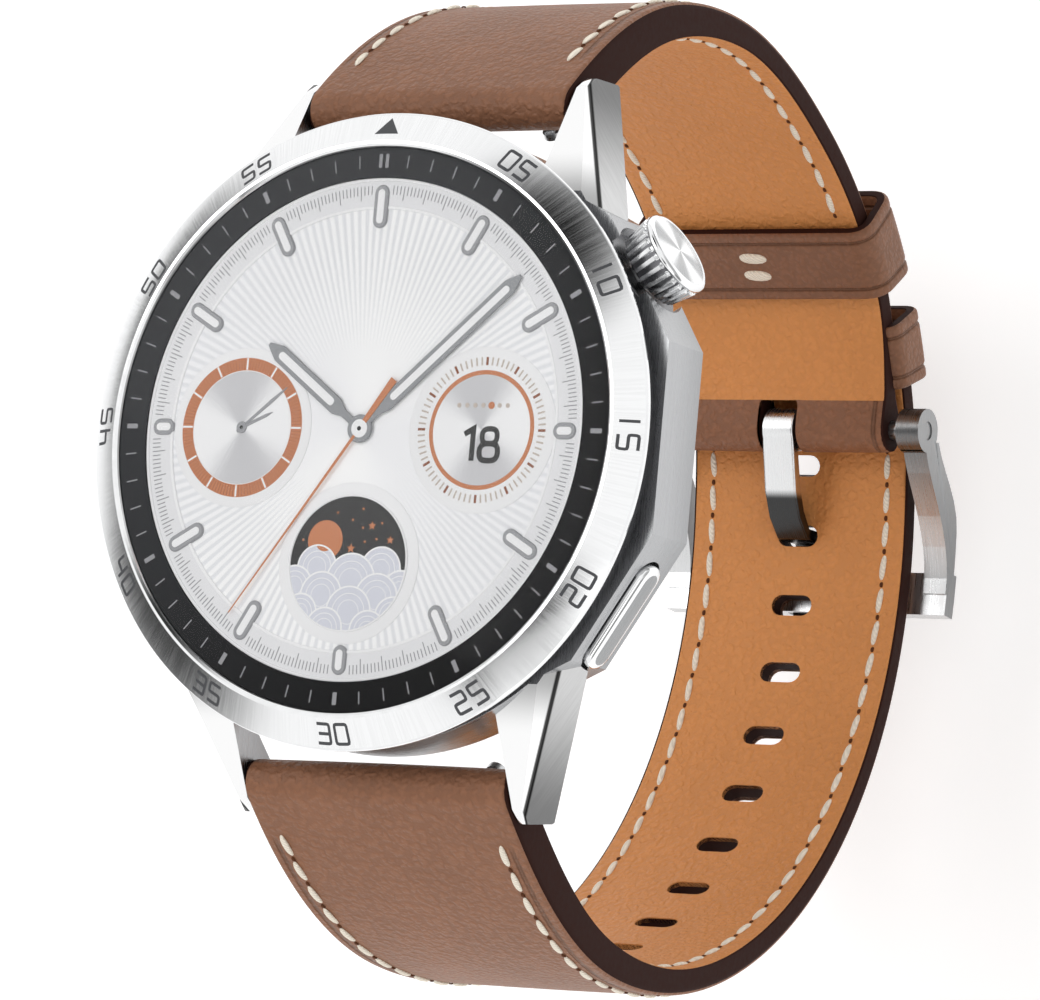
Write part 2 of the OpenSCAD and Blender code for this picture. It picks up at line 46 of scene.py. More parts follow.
# Sizes of the strap loop, in millimetres and degrees round the loop from the dial
LOOP_Z = -20.3
BAR_Y, BAR_Z = 24.8, 4.3
PIN_Y, PIN_Z = 10.3, -51.8
BAR_A = degrees(atan2(BAR_Y, BAR_Z - LOOP_Z))
BAR_R = hypot(BAR_Y, BAR_Z - LOOP_Z)
PIN_A = 180 - degrees(atan2(PIN_Y, LOOP_Z - PIN_Z))
PIN_R = hypot(PIN_Y, LOOP_Z - PIN_Z)
KEEPER_R, LONG_R = 35, 36
THICK, THIN_SHORT, THIN_LONG, WRAP_R = 3.5, 2.1, 2.0, 1.8
TAIL_A, TAIL_ROUND, FOLD_A, TURN_IN = 212.5, 9, 157, 5
HOLE_IN_USE, HOLE_STEP, HOLE_N = 183.6, 9.2, 10
SKIN, REVEAL = 0.45, 0.13
HALF_LUG, HALF_END = 10.85, 9.5
OUTER_SEAM_A, INNER_SEAM_A = 52.4, 52.5
PITCH = 2.66
FREE_KEEPER_A, FIXED_KEEPER_A, KEEPER_THICK = 137.6, 152.3, 0.88
KEEPER_GROOVE = 1.0

# Heights of the dial and of its sub-dials, the radius of those and where they are
DIAL = 11.9
SUB_TOP = DIAL + 0.12
SUB_R = 5.8
LEFT, RIGHT, LOWER = (-10.0, 0.0), (10.0, 0.0), (0.0, -9.65)

# Angle of the crown above 3 o'clock and of the button below it, and the height of both
CONTROL_A, CONTROL_Z = 32, 7.0

# Low enough for the strap to swing to its limit
FLOOR_Z = -68


def ease(a, b, x):
    """Rises smoothly from 0 at a to 1 at b."""
    t = min(1, max(0, (x - a) / (b - a)))
    return t * t * (3 - 2 * t)


# ---------- camera and light ----------

def camera():
    """The photo's view, solved from its bezel, minute ring and dial circles."""
    data = bpy.data.cameras.new("camera")
    data.sensor_width = 36
    data.lens = 219.3
    data.clip_end = 10
    cam = bpy.data.objects.new("camera", data)
    bpy.context.scene.collection.objects.link(cam)
    right = Vector((0.86323, 0.08860, -0.49693))
    up = Vector((-0.01470, 0.98846, 0.15070))
    turn = Matrix((right, up, right.cross(up))).transposed().to_4x4()
    cam.matrix_world = Matrix.Translation((0.2370, -0.05928, 0.39032)) @ turn
    bpy.context.scene.camera = cam


# Directions of the dark flags round the studio, with each one's width and depth
FLAGS = [((0.04, 0.67, 0.74), 0.17, 1.0), ((0.11, -0.50, 0.86), 0.15, 0.95),
         ((-0.93, -0.22, 0.30), 0.20, 0.95), ((-0.93, 0.32, 0.16), 0.16, 0.85),
         ((0.98, 0.10, 0.15), 0.30, 0.55), ((0.70, -0.70, 0.10), 0.22, 0.75),
         ((0.45, 0.88, 0.05), 0.20, 0.70)]


def studio():
    world = bpy.data.worlds.new("studio")
    world.use_nodes = True
    tree = world.node_tree
    bpy.context.scene.world = world
    where = tree.nodes.new("ShaderNodeTexCoord").outputs["Generated"]
    level = None
    for direction, width, depth in FLAGS:
        dot = tree.nodes.new("ShaderNodeVectorMath")
        dot.operation = "DOT_PRODUCT"
        tree.links.new(where, dot.inputs[0])
        dot.inputs[1].default_value = Vector(direction).normalized()
        near = tree.nodes.new("ShaderNodeMapRange")
        near.interpolation_type = "SMOOTHSTEP"
        tree.links.new(dot.outputs["Value"], near.inputs[0])
        near.inputs[1].default_value = cos(width * 2.4)
        near.inputs[2].default_value = cos(width * 0.5)
        near.inputs[3].default_value = 1
        near.inputs[4].default_value = 1 - depth
        if level is None:
            level = near.outputs[0]
        else:
            times = tree.nodes.new("ShaderNodeMath")
            times.operation = "MULTIPLY"
            tree.links.new(level, times.inputs[0])
            tree.links.new(near.outputs[0], times.inputs[1])
            level = times.outputs[0]
    tree.links.new(level, tree.nodes["Background"].inputs["Color"])
    tree.nodes["Background"].inputs["Strength"].default_value = 1.04
    for name, place, size, power in (("key", (-0.35, 0.25, 0.75), 0.4, 1.3),
                                     ("fill", (0.30, -0.55, 0.55), 0.5, 0.5)):
        data = bpy.data.lights.new(name, "AREA")
        data.size = size
        data.energy = power
        lamp = bpy.data.objects.new(name, data)
        bpy.context.scene.collection.objects.link(lamp)
        lamp.location = place
        lamp.rotation_mode = "QUATERNION"
        lamp.rotation_quaternion = (-Vector(place)).to_track_quat("-Z", "Y")
    view = bpy.context.scene.view_settings
    view.view_transform = "Standard"
    view.look = "None"


# ---------- materials ----------

class Shader:
    """A Principled material with helpers that add nodes and return their outputs."""

    def __init__(self, name, **values):
        self.mat = bpy.data.materials.new(name)
        self.mat.use_nodes = True
        self.tree = self.mat.node_tree
        self.main = self.tree.nodes["Principled BSDF"]
        for key, value in values.items():
            key = key.replace("_", " ")
            socket = next(s for s in self.main.inputs if s.name.lower() == key)
            socket.default_value = (*value, 1) if isinstance(value, tuple) else value

    def node(self, kind, inputs, **props):
        made = self.tree.nodes.new("ShaderNode" + kind)
        for key, value in props.items():
            setattr(made, key, value)
        for key, value in inputs.items():
            if isinstance(value, bpy.types.NodeSocket):
                self.tree.links.new(value, made.inputs[key])
            else:
                made.inputs[key].default_value = value
        return made.outputs

    def math(self, operation, a, b=0.0, c=0.0):
        return self.node("Math", {0: a, 1: b, 2: c}, operation=operation)[0]

    def coords(self, x=1, y=1, z=1):
        """Object coordinates in millimetres, scaled along each axis."""
        place = self.node("TexCoord", {})["Object"]
        return self.node("VectorMath", {0: place, 1: (x / MM, y / MM, z / MM)}, operation="MULTIPLY")[0]

    def polar(self, x=0, y=0):
        """Angle and radius in millimetres about a point of the dial."""
        place = self.node("VectorMath", {0: self.coords(), 1: (-x, -y, 0)}, operation="ADD")[0]
        part = self.node("SeparateXYZ", {0: place})
        angle = self.math("ARCTAN2", part[1], part[0])
        flat = self.node("CombineXYZ", {0: part[0], 1: part[1]})[0]
        return angle, self.node("VectorMath", {0: flat}, operation="LENGTH")["Value"]

    def noise(self, place, scale, detail=2):
        return self.node("TexNoise", {"Vector": place, "Scale": scale, "Detail": detail})[0]

    def span(self, value, a, b, to_a=0.0, to_b=1.0, smooth=True):
        kind = "SMOOTHSTEP" if smooth else "LINEAR"
        return self.node("MapRange", {0: value, 1: a, 2: b, 3: to_a, 4: to_b}, interpolation_type=kind)[0]

    def mix(self, share, a, b):
        a, b = ((*c, 1) if isinstance(c, tuple) else c for c in (a, b))
        return self.node("Mix", {0: share, 6: a, 7: b}, data_type="RGBA")[2]

    def link(self, value, name):
        self.tree.links.new(value, self.main.inputs[name])

    def bump(self, height, depth, strength=1.0):
        """Bump whose full height is depth millimetres."""
        self.link(self.node("Bump", {"Height": height, "Distance": depth * MM, "Strength": strength})[0],
                  "Normal")


def srgb(r, g, b):
    return tuple((c / 255) ** 2.2 for c in (r, g, b))


def scaled(colour, k):
    return tuple(min(1, c * k) for c in colour)


def streaked(s, streak, colour, spread):
    """Colour that goes a share of spread darker, and half of it lighter, from streak to streak."""
    return s.mix(s.span(streak, 0.35, 0.65), scaled(colour, 1 - spread), scaled(colour, 1 + spread / 2))


def steel(level):
    """Grey of a steel, a little bluer than neutral."""
    return level, level + 0.005, level + 0.01


def metal(name, colour, rough, grain=(6, 0.15, 6), depth=0.004, spread=0.10, painted_shade_ramp=None):
    """Metal brushed along the axis where grain is small.
    A ramp of painted shade is an axis, two places along it and how much darker the metal is painted at each."""
    s = Shader(name, metallic=1.0)
    streak = s.noise(s.coords(*grain), 1.0, 3)
    tone = streaked(s, streak, colour, spread)
    # Painted shade: the tone is multiplied by a grey that changes with the distance along one axis.
    if painted_shade_ramp:
        axis, first, last, dark, light = painted_shade_ramp
        level = s.span(s.math("ABSOLUTE", s.node("SeparateXYZ", {0: s.coords()})[axis]), first, last, dark,
                       light)
        grey = s.node("CombineXYZ", {0: level, 1: level, 2: level})[0]
        tone = s.node("Mix", {0: 1.0, 6: tone, 7: grey}, data_type="RGBA", blend_type="MULTIPLY")[2]
    s.link(tone, "Base Color")
    s.link(s.span(streak, 0.3, 0.7, rough * 0.8, rough * 1.25), "Roughness")
    if depth:
        s.bump(streak, depth)
    return s.mat


def lug_steel(name):
    """Lug steel: polished on top and painted from dark near the bezel to bright further out, a painted dark
    line where the top meets the flank, then a brushed flank painted darker towards the tip; all three are
    painted shade.
    """
    s = Shader(name, metallic=1.0)
    part = s.node("SeparateXYZ", {0: s.coords()})
    x, y = s.math("ABSOLUTE", part[0]), s.math("ABSOLUTE", part[1])
    beyond = s.math("SUBTRACT", s.math("MULTIPLY_ADD", y, 0.43, x), 23.22)
    streak = s.span(s.noise(s.coords(0.3, 0.3, 12), 1.0, 3), 0.3, 0.7)
    # Painted shade: the top goes from dark near the bezel to bright, the flank from mid grey to dark towards
    # the tip.
    top, side = s.span(y, 16.8, 21.0, 0.36, 0.93), s.span(y, 16.5, 26.5, 0.62, 0.20)
    side = s.math("MULTIPLY", side, s.math("MULTIPLY_ADD", streak, 0.10, 0.95))
    is_side = s.span(beyond, -0.02, 0.02)
    level = s.math("ADD", s.math("MULTIPLY", side, is_side),
                   s.math("MULTIPLY", top, s.math("SUBTRACT", 1.0, is_side)))
    # Painted shade: a dark line along the edge where the top meets the flank.
    line = s.span(s.math("ABSOLUTE", beyond), 0.05, 0.13, 0.06, 1)
    level = s.math("MULTIPLY", level, line)
    s.link(s.node("CombineXYZ", {0: level, 1: level, 2: level})[0], "Base Color")
    s.link(s.span(is_side, 0, 1, 0.13, 0.30), "Roughness")
    return s.mat


def sunray(name, colour, rough, centre=(0, 0), lines=260, spread=0.10, depth=0.003):
    """Metal brushed outwards from a point of the dial."""
    s = Shader(name, metallic=1.0)
    angle, radius = s.polar(*centre)
    place = s.node("CombineXYZ",
                   {0: s.math("MULTIPLY", angle, lines / TAU), 1: s.math("MULTIPLY", radius, 0.2)})[0]
    streak = s.noise(place, 1.0, 3)
    s.link(streaked(s, streak, colour, spread), "Base Color")
    s.link(s.span(streak, 0.3, 0.7, rough * 0.8, rough * 1.25), "Roughness")
    s.bump(streak, depth)
    return s.mat


def leather(name, colour, grain, depth, rough, contrast=0.12, creases=None):
    """Grained leather: soft pebbles about grain millimetres across, with fine pores.
    Creases is a function that gives how far each point is pressed in, from 0 to 1; pressed points are also
    painted darker, as painted shade in the creases."""
    s = Shader(name, specular_ior_level=0.35)
    place = s.coords()
    warp = s.node("TexNoise", {"Vector": place, "Scale": 1.6, "Detail": 2})["Color"]
    bent = s.node("VectorMath", {0: warp, 1: (0.7, 0.7, 0.7), 2: place}, operation="MULTIPLY_ADD")[0]
    cell = s.node("TexVoronoi", {"Vector": bent, "Scale": 1 / grain, "Smoothness": 0.6},
                  feature="SMOOTH_F1")["Distance"]
    pebble = s.span(cell, 0.15, 0.75, 1, 0)
    pores = s.noise(place, 2.2 / grain, 3)
    cloud = s.noise(place, 0.16, 3)
    height = s.math("MULTIPLY_ADD", pores, 0.7, pebble)
    fine = s.math("MULTIPLY_ADD", pebble, 0.35, s.math("MULTIPLY", pores, 0.35))
    shade = s.math("MULTIPLY_ADD", cloud, 0.6, fine)
    tone = s.mix(s.span(shade, 0.35, 0.95), scaled(colour, 1 - contrast), scaled(colour, 1 + contrast))
    if creases:
        press = creases(s, place)
        height = s.math("MULTIPLY_ADD", press, -2.6, height)
        # Painted shade: the pressed lines are painted darker, towards 0.35 of the colour.
        tone = s.mix(s.math("MULTIPLY", press, 0.45), tone, scaled(colour, 0.35))
    s.link(tone, "Base Color")
    s.link(s.span(pores, 0.3, 0.7, rough - 0.07, rough + 0.08), "Roughness")
    s.bump(height, depth)
    return s.mat


def loop_angle(s, place):
    """Angle round the strap loop from the dial, the same on both sides."""
    part = s.node("SeparateXYZ", {0: place})
    return part[0], s.math("ARCTAN2", s.math("ABSOLUTE", part[1]), s.math("SUBTRACT", part[2], LOOP_Z))


def seam_creases(s, place):
    """Line pressed between the stitches and the strap's edge, from where the stitches start."""
    x, angle = loop_angle(s, place)
    half = s.span(angle, radians(BAR_A), radians(118), HALF_LUG, HALF_END)
    away = s.math("ABSOLUTE", s.math("SUBTRACT", s.math("ABSOLUTE", x), s.math("SUBTRACT", half, 0.85)))
    return s.math("MULTIPLY", s.span(away, 0.04, 0.26, 1, 0),
                  s.span(angle, radians(OUTER_SEAM_A - 2), radians(OUTER_SEAM_A)))


def band_creases(middle, offset):
    """Lines pressed along a keeper that sits at an angle, on both sides of its middle."""
    def press(s, place):
        turn = s.math("SUBTRACT", loop_angle(s, place)[1], radians(middle))
        along = s.math("ABSOLUTE", s.math("MULTIPLY", turn, KEEPER_R))
        away = s.math("ABSOLUTE", s.math("SUBTRACT", along, offset))
        return s.math("MAXIMUM", 0.0, s.span(away, 0.03, 0.20, 1, 0))
    return press


def plain(name, colour, rough, speckle=0.06, scale=3.0, depth=0.003, **values):
    """Moulded, printed or painted surface with a fine mottle."""
    s = Shader(name, **values)
    place = s.coords()
    grain = s.noise(place, scale, 3)
    s.link(s.mix(grain, scaled(colour, 1 - speckle), scaled(colour, 1 + speckle)), "Base Color")
    s.link(s.span(grain, 0.3, 0.7, max(0, rough - 0.04), rough + 0.05), "Roughness")
    if depth:
        s.bump(grain, depth)
    return s.mat


def dial_white(name):
    """Pale dial with fine rays that fade out towards its centre."""
    s = Shader(name, roughness=0.45, specular_ior_level=0.4)
    angle, radius = s.polar()
    wave = s.math("SINE", s.math("MULTIPLY", angle, 150))
    ray = s.span(wave, -0.6, 0.9)
    share = s.math("MULTIPLY", ray, s.span(radius, 2.5, 14))
    sheen = s.math("SINE", s.math("MULTIPLY_ADD", angle, 2, -0.9))
    base = s.mix(s.span(sheen, -1, 1), srgb(247, 247, 249), srgb(255, 255, 255))
    s.link(s.mix(share, base, srgb(232, 233, 236)), "Base Color")
    s.bump(s.math("MULTIPLY", share, -1), 0.02)
    return s.mat


def cone_silver(name, x, y):
    """Silver disc whose tone turns with the angle about its own centre."""
    s = Shader(name, roughness=0.4)
    angle, radius = s.polar(x, y)
    turn = s.math("SINE", s.math("MULTIPLY_ADD", angle, 2, 1.2))
    lines = s.noise(s.node("CombineXYZ",
                           {0: s.math("MULTIPLY", angle, 30), 1: s.math("MULTIPLY", radius, 0.3)})[0], 1, 2)
    tone = s.math("MULTIPLY_ADD", lines, 0.5, s.span(turn, -1, 1))
    s.link(s.mix(s.span(tone, 0.1, 1.3), srgb(198, 198, 201), srgb(246, 246, 247)), "Base Color")
    return s.mat


def crown_face_material(name):
    """Metal brushed outwards from the crown's axis, with opposite sectors painted lighter and darker in turn
    as painted highlights.
    """
    s = Shader(name, metallic=1.0)
    place = s.coords()
    c, k = cos(radians(CONTROL_A)), sin(radians(CONTROL_A))
    along = s.node("VectorMath", {0: place, 1: (-k, c, 0)}, operation="DOT_PRODUCT")["Value"]
    height = s.math("SUBTRACT", s.node("SeparateXYZ", {0: place})[2], CONTROL_Z)
    angle = s.math("ARCTAN2", height, along)
    lines = s.noise(s.node("CombineXYZ",
                           {0: s.math("MULTIPLY", angle, 22), 1: s.math("MULTIPLY", height, 0.05)})[0], 1, 3)
    # Painted highlights: opposite sectors painted lighter and darker in turn.
    painted_highlight = s.math("SINE", s.math("MULTIPLY_ADD", angle, 4, 0.6))
    tone = s.math("MULTIPLY_ADD", lines, 0.8, s.span(painted_highlight, -1, 1))
    s.link(s.mix(s.span(tone, 0.2, 1.5), (0.42, 0.425, 0.43), (0.93, 0.935, 0.94)), "Base Color")
    s.link(s.span(lines, 0.3, 0.7, 0.22, 0.34), "Roughness")
    s.bump(lines, 0.006)
    return s.mat


def minute_black(name):
    """Black ring, painted a little lighter towards its upper left: painted light from that side."""
    s = Shader(name, roughness=0.3, specular_ior_level=0.08)
    part = s.node("SeparateXYZ", {0: s.coords()})
    # Painted light: the tone rises along the diagonal towards the upper left.
    painted_light_diagonal = s.math("SUBTRACT", part[1], part[0])
    grain = s.math("MULTIPLY_ADD", s.noise(s.coords(), 2.5), 3.0, painted_light_diagonal)
    s.link(s.mix(s.span(grain, -24, 28), srgb(12, 12, 13), srgb(58, 59, 61)), "Base Color")
    return s.mat


def clear_glass(name):
    s = Shader(name, base_color=(0.02, 0.02, 0.022), roughness=0.03, ior=1.5)
    haze = s.noise(s.coords(), 0.05)
    s.link(s.span(haze, 0.3, 0.7, 0.04, 0.055), "Alpha")
    return s.mat


def thread(name, colour):
    s = Shader(name, specular_ior_level=0.2)
    place = s.coords()
    twist = s.node("TexWave", {"Vector": place, "Scale": 1.6, "Distortion": 1.2, "Detail": 2},
                   wave_type="BANDS", bands_direction="DIAGONAL")[1]
    s.link(s.mix(twist, scaled(colour, 0.84), colour), "Base Color")
    s.link(s.span(twist, 0, 1, 0.75, 0.6), "Roughness")
    s.bump(twist, 0.05)
    return s.mat


# Plain surfaces as name, colour, roughness, speckle and any other values of plain()
FLAT = {"depth": 0}
PLAIN = {
    "edge": ("leather_edge_paint", (52, 33, 29), 0.6, 0.18,
             {"scale": 2.0, "depth": 0.02, "specular_ior_level": 0.05}),
    # Dark brown beads in the stitch holes: painted shade.
    "hole": ("stitch_hole_painted_shade", (88, 54, 35), 0.6, 0.1, {"depth": 0, "specular_ior_level": 0.1}),
    "white": ("dial_white_print", (243, 243, 244), 0.42, 0.01, FLAT),
    "pale": ("dial_pale_print", (232, 232, 234), 0.45, 0.015, FLAT),
    "grey": ("dial_grey_print", (150, 150, 153), 0.42, 0.06, FLAT),
    "mid": ("dial_index_grey", (152, 153, 156), 0.35, 0.05, FLAT),
    "hand": ("hand_grey", (140, 142, 145), 0.3, 0.03, FLAT),
    "ink": ("dial_black_print", (20, 20, 21), 0.35, 0.1, FLAT),
    "copper": ("dial_copper", (196, 122, 80), 0.38, 0.06, {"scale": 6, "depth": 0}),
    "rust": ("dial_copper_dark", (140, 84, 58), 0.4, 0.06, FLAT),
    "beige": ("dial_beige_print", (196, 184, 174), 0.45, 0.05, FLAT),
    "cloud": ("dial_cloud_grey", (214, 216, 226), 0.45, 0.04, {"scale": 1.2, "depth": 0}),
    "engraved": ("bezel_engraving", (66, 67, 70), 0.5, 0.15, {"depth": 0.01}),
    "rubber": ("rubber_black", (30, 30, 31), 0.7, 0.06, {}),
    "black": ("composite_black", (34, 34, 36), 0.42, 0.12, {"scale": 6, "depth": 0.006}),
    "sensor": ("sensor_tinted_glass", (14, 14, 16), 0.06, 0.2, {"depth": 0, "coat_weight": 0.6}),
    "board": ("solder_mask_green", (30, 92, 58), 0.4, 0.15, {}),
    "led": ("led_clear_green", (150, 235, 170), 0.2, 0.06, {}),
    "film": ("flex_film_orange", (205, 120, 45), 0.35, 0.06, {})}

# Metals as name, colour, roughness, grain and any other values of metal()
METAL = {
    "polished": ("steel_polished", steel(0.86), 0.09, (1, 1, 1), {"depth": 0, "spread": 0.03}),
    "guard": ("steel_brushed_guard", steel(0.34), 0.26, (9, 0.25, 1), {"depth": 0.001, "spread": 0.05}),
    # Dark steel put on bevels, undercuts, grooves and the crown collar: painted shade.
    "shadow": ("steel_painted_shade", (0.20, 0.20, 0.21), 0.30, (1, 1, 4), {}),
    # The case is painted darker low down and lighter towards its top: painted shade.
    "case": ("steel_brushed_case_painted_shade", (0.45, 0.455, 0.465), 0.30, (0.12, 0.12, 14),
             {"depth": 0.002, "spread": 0.05, "painted_shade_ramp": (2, 1.0, 9.0, 0.62, 1.0)}),
    "button": ("steel_brushed_button", steel(0.34), 0.28, (0.12, 0.12, 12),
               {"depth": 0.002, "spread": 0.06}),
    # The buckle is painted darker towards its pin: painted shade.
    "buckle": ("steel_brushed_buckle_painted_shade", steel(0.70), 0.30, (14, 0.3, 0.3),
               {"depth": 0.002, "spread": 0.05, "painted_shade_ramp": (1, 9.5, 2.0, 0.30, 1.0)}),
    # The arm steel is a darker copy of the buckle steel, with a ramp lighter towards |y| 12 mm and darker
    # towards y 0: painted shade.
    "arm": ("steel_brushed_arm_painted_shade", steel(0.34), 0.33, (2, 0.2, 14),
            {"depth": 0.002, "spread": 0.07, "painted_shade_ramp": (1, 12.0, 0.0, 1.15, 0.75)}),
    # The tongue is painted near black where |y| is under 4.7 mm: a painted dark reflection where it bends.
    "blade": ("steel_brushed_tongue_painted_shade", steel(0.82), 0.24, (14, 0.3, 0.3),
              {"depth": 0.002, "spread": 0.06, "painted_shade_ramp": (1, 4.7, 5.5, 0.07, 1.0)}),
    "small": ("steel_satin_small", steel(0.62), 0.30, (3, 3, 3), {}),
    "knurl": ("steel_knurled", steel(0.80), 0.24, (2, 2, 2), {"depth": 0, "spread": 0.05}),
    "wire": ("copper_wire", srgb(190, 120, 80), 0.3, (9, 9, 1), {}),
    "foil": ("battery_foil", (0.45, 0.46, 0.48), 0.4, (1, 4, 1), {}),
    "can": ("tinned_sheet", (0.66, 0.67, 0.69), 0.3, (2, 2, 2), {})}


def make_materials():
    made = {key: plain(name, srgb(*colour), rough, speckle, **values)
            for key, (name, colour, rough, speckle, values) in PLAIN.items()}
    made |= {key: metal(name, colour, rough, grain, **values)
             for key, (name, colour, rough, grain, values) in METAL.items()}
    made["bezel"] = sunray("bezel_satin", steel(0.90), 0.16, lines=1100, spread=0.035, depth=0.0006)
    made["lug"] = lug_steel("steel_lug_painted_shade")
    brown = srgb(136, 93, 68)
    made["outer"] = leather("leather_outer_brown", brown, 0.5, 0.07, 0.52, creases=seam_creases)
    made["lining"] = leather("leather_lining_tan", srgb(211, 140, 80), 0.5, 0.07, 0.52, contrast=0.05)
    for key, name, middle, crease in (("keeper", "leather_keeper_brown", FREE_KEEPER_A, 2.25),
                                      ("keeper_2", "leather_keeper_fixed", FIXED_KEEPER_A, 1.65)):
        made[key] = leather(name, scaled(brown, 0.86), 0.42, 0.04, 0.48, creases=band_creases(middle, crease))
    made["board_fill"] = leather("strap_filler", srgb(150, 120, 92), 0.4, 0.03, 0.8)
    made["thread"] = thread("thread_cream", srgb(250, 240, 222))
    made["dial"] = dial_white("dial_rays")
    made["cone_left"] = cone_silver("silver_centre_left", *LEFT)
    made["cone_right"] = cone_silver("silver_centre_right", *RIGHT)
    made["ring"] = minute_black("minute_ring_black_painted_light")
    made["glass"] = clear_glass("sapphire_clear")
    made["crown_face"] = crown_face_material("steel_crown_face_painted_highlight")
    return made


M = make_materials()
SLOT_MATERIAL = {
    "steel_case": "case", "steel_bezel": "bezel", "steel_small": "small", "steel_crown": "knurl",
    "cover_glass": "glass", "dial_black": "ink", "dial_face": "dial", "case_black": "black",
    "sensor_glass": "sensor", "rubber": "rubber", "circuit": "board", "led": "led", "copper": "wire",
    "battery_foil": "foil", "shield_can": "can", "flex": "film", "leather_brown": "outer",
    "leather_tan": "lining", "filler": "board_fill", "buckle_steel": "buckle"}
for row in frame["record"]["subparts"]:
    key = "arm" if row["node"] == "buckle_pin" else SLOT_MATERIAL[row["material_slot"]]
    cad = frame["nodes"][row["node"]]
    cad.data.materials.clear()
    cad.data.materials.append(M[key])


# ---------- shapes ----------

# Angle in degrees past which an edge is shaded as sharp
SHARP = 35


def loft(rings, caps=True, loop=False):
    """Joins rings of points, all with the same count, into (points, faces)."""
    n = len(rings[0])
    verts = [p for ring in rings for p in ring]
    faces = []
    for i in range(len(rings) if loop else len(rings) - 1):
        a, b = i * n, (i + 1) % len(rings) * n
        faces += [(a + k, a + (k + 1) % n, b + (k + 1) % n, b + k) for k in range(n)]
    if caps and not loop:
        faces += [tuple(reversed(range(n))), tuple(range(len(verts) - n, len(verts)))]
    return verts, faces


def lathe(profile, n=96):
    """Turns (r, z) points about Z: a closed ring, or a disc if the profile starts and ends on the axis."""
    turn = [(cos(TAU * k / n), sin(TAU * k / n)) for k in range(n)]
    if profile[0][0] > 0:
        return loft([[(r * c, r * s, z) for r, z in profile] for c, s in turn], loop=True)
    rings = [[(r * c, r * s, z) for c, s in turn] for r, z in profile[1:-1]]
    verts, faces = loft(rings, caps=False)
    low, last = len(verts), (len(rings) - 1) * n
    verts += [(0, 0, profile[0][1]), (0, 0, profile[-1][1])]
    faces += [(low, (k + 1) % n, k) for k in range(n)]
    faces += [(low + 1, last + k, last + (k + 1) % n) for k in range(n)]
    return verts, faces


def annulus(r0, r1, z0, z1, bevel=0.02, n=128):
    return lathe([(r0, z0), (r1, z0), (r1, z1 - bevel), (r1 - bevel, z1), (r0 + bevel, z1),
                  (r0, z1 - bevel)], n)


def disc(r, z0, z1, bevel=0.02, n=96):
    return lathe([(0, z0), (r, z0), (r, z1 - bevel), (r - bevel, z1), (0, z1)], n)


def moved(part, place):
    return [place(v) for v in part[0]], part[1]


def clock(angle, x=0, y=0):
    """Puts local +Y along the clock direction of an angle, about a point of the dial."""
    s, c = sin(radians(angle)), cos(radians(angle))
    return lambda p: (x + p[0] * c + p[1] * s, y - p[0] * s + p[1] * c, p[2])


def inset(outline, d):
    """An anticlockwise outline moved inwards by d, its corners mitred."""
    made = []
    for i, (x, y) in enumerate(outline):
        (x0, y0), (x1, y1) = outline[i - 1], outline[(i + 1) % len(outline)]
        a = Vector((y0 - y, x - x0)).normalized()
        b = Vector((y - y1, x1 - x)).normalized()
        m = (a + b) / max(0.35, 1 + a.dot(b))
        made.append((x + d * m.x, y + d * m.y))
    return made


def relief(outline, z0, z1, bevel=0.0):
    """Raised flat shape on a plane, its top edge chamfered; the outline runs anticlockwise."""
    rings = [[(x, y, z0) for x, y in outline], [(x, y, z1 - bevel) for x, y in outline]]
    if bevel:
        rings.append([(x, y, z1) for x, y in inset(outline, bevel)])
    return loft(rings)


def raised(outline, z0, high, angle, x=0, y=0):
    """Relief of a given height, turned to a clock angle about a point of the dial."""
    return moved(relief(outline, z0, z0 + high), clock(angle, x, y))


def pill(v0, v1, w, n=8):
    """Outline of a slot w wide each side of its middle, from v0 to v1 along it."""
    up = [(w * cos(pi * k / n), v1 - w + w * sin(pi * k / n)) for k in range(n + 1)]
    down = [(-x, v0 + v1 - y) for x, y in up]
    return up + down


def bar(w, v0, v1):
    """Outline of a straight mark w wide each side of its middle, from v0 to v1 along it."""
    return [(-w, v0), (w, v0), (w, v1), (-w, v1)]


def fillet(points, r, closed=True, n=4):
    """Rounds the corners of a path, each by a curve of n steps."""
    made = []
    for i, p in enumerate(points):
        if not closed and i in (0, len(points) - 1):
            made.append(p)
            continue
        p, a, b = Vector(p), Vector(points[i - 1]), Vector(points[(i + 1) % len(points)])
        p0 = p + (a - p).normalized() * min(r, (a - p).length / 2)
        p1 = p + (b - p).normalized() * min(r, (b - p).length / 2)
        for k in range(n + 1):
            t = k / n
            made.append(tuple(p0 * (1 - t) ** 2 + p * (2 * t * (1 - t)) + p1 * t * t))
    return made


def stroke(points, w, z0, z1, closed=False, step=0.4):
    """Line of width w along points of a plane, mitred at its corners."""
    dense = []
    count = len(points) if closed else len(points) - 1
    for i in range(count):
        a, b = Vector(points[i]), Vector(points[(i + 1) % len(points)])
        n = max(1, ceil((b - a).length / step))
        dense += [a + (b - a) * (k / n) for k in range(n)]
    if not closed:
        dense.append(Vector(points[-1]))
    rings = []
    for i, p in enumerate(dense):
        before = dense[i - 1] if closed or i else None
        after = dense[(i + 1) % len(dense)] if closed or i < len(dense) - 1 else None
        a = (p - before).normalized() if before is not None else (after - p).normalized()
        b = (after - p).normalized() if after is not None else a
        na, nb = Vector((-a.y, a.x)), Vector((-b.y, b.x))
        m = (na + nb) / max(0.4, 1 + na.dot(nb)) * (w / 2)
        rings.append([(p.x + m.x, p.y + m.y, z0), (p.x - m.x, p.y - m.y, z0),
                      (p.x - m.x, p.y - m.y, z1), (p.x + m.x, p.y + m.y, z1)])
    return loft(rings, loop=closed)


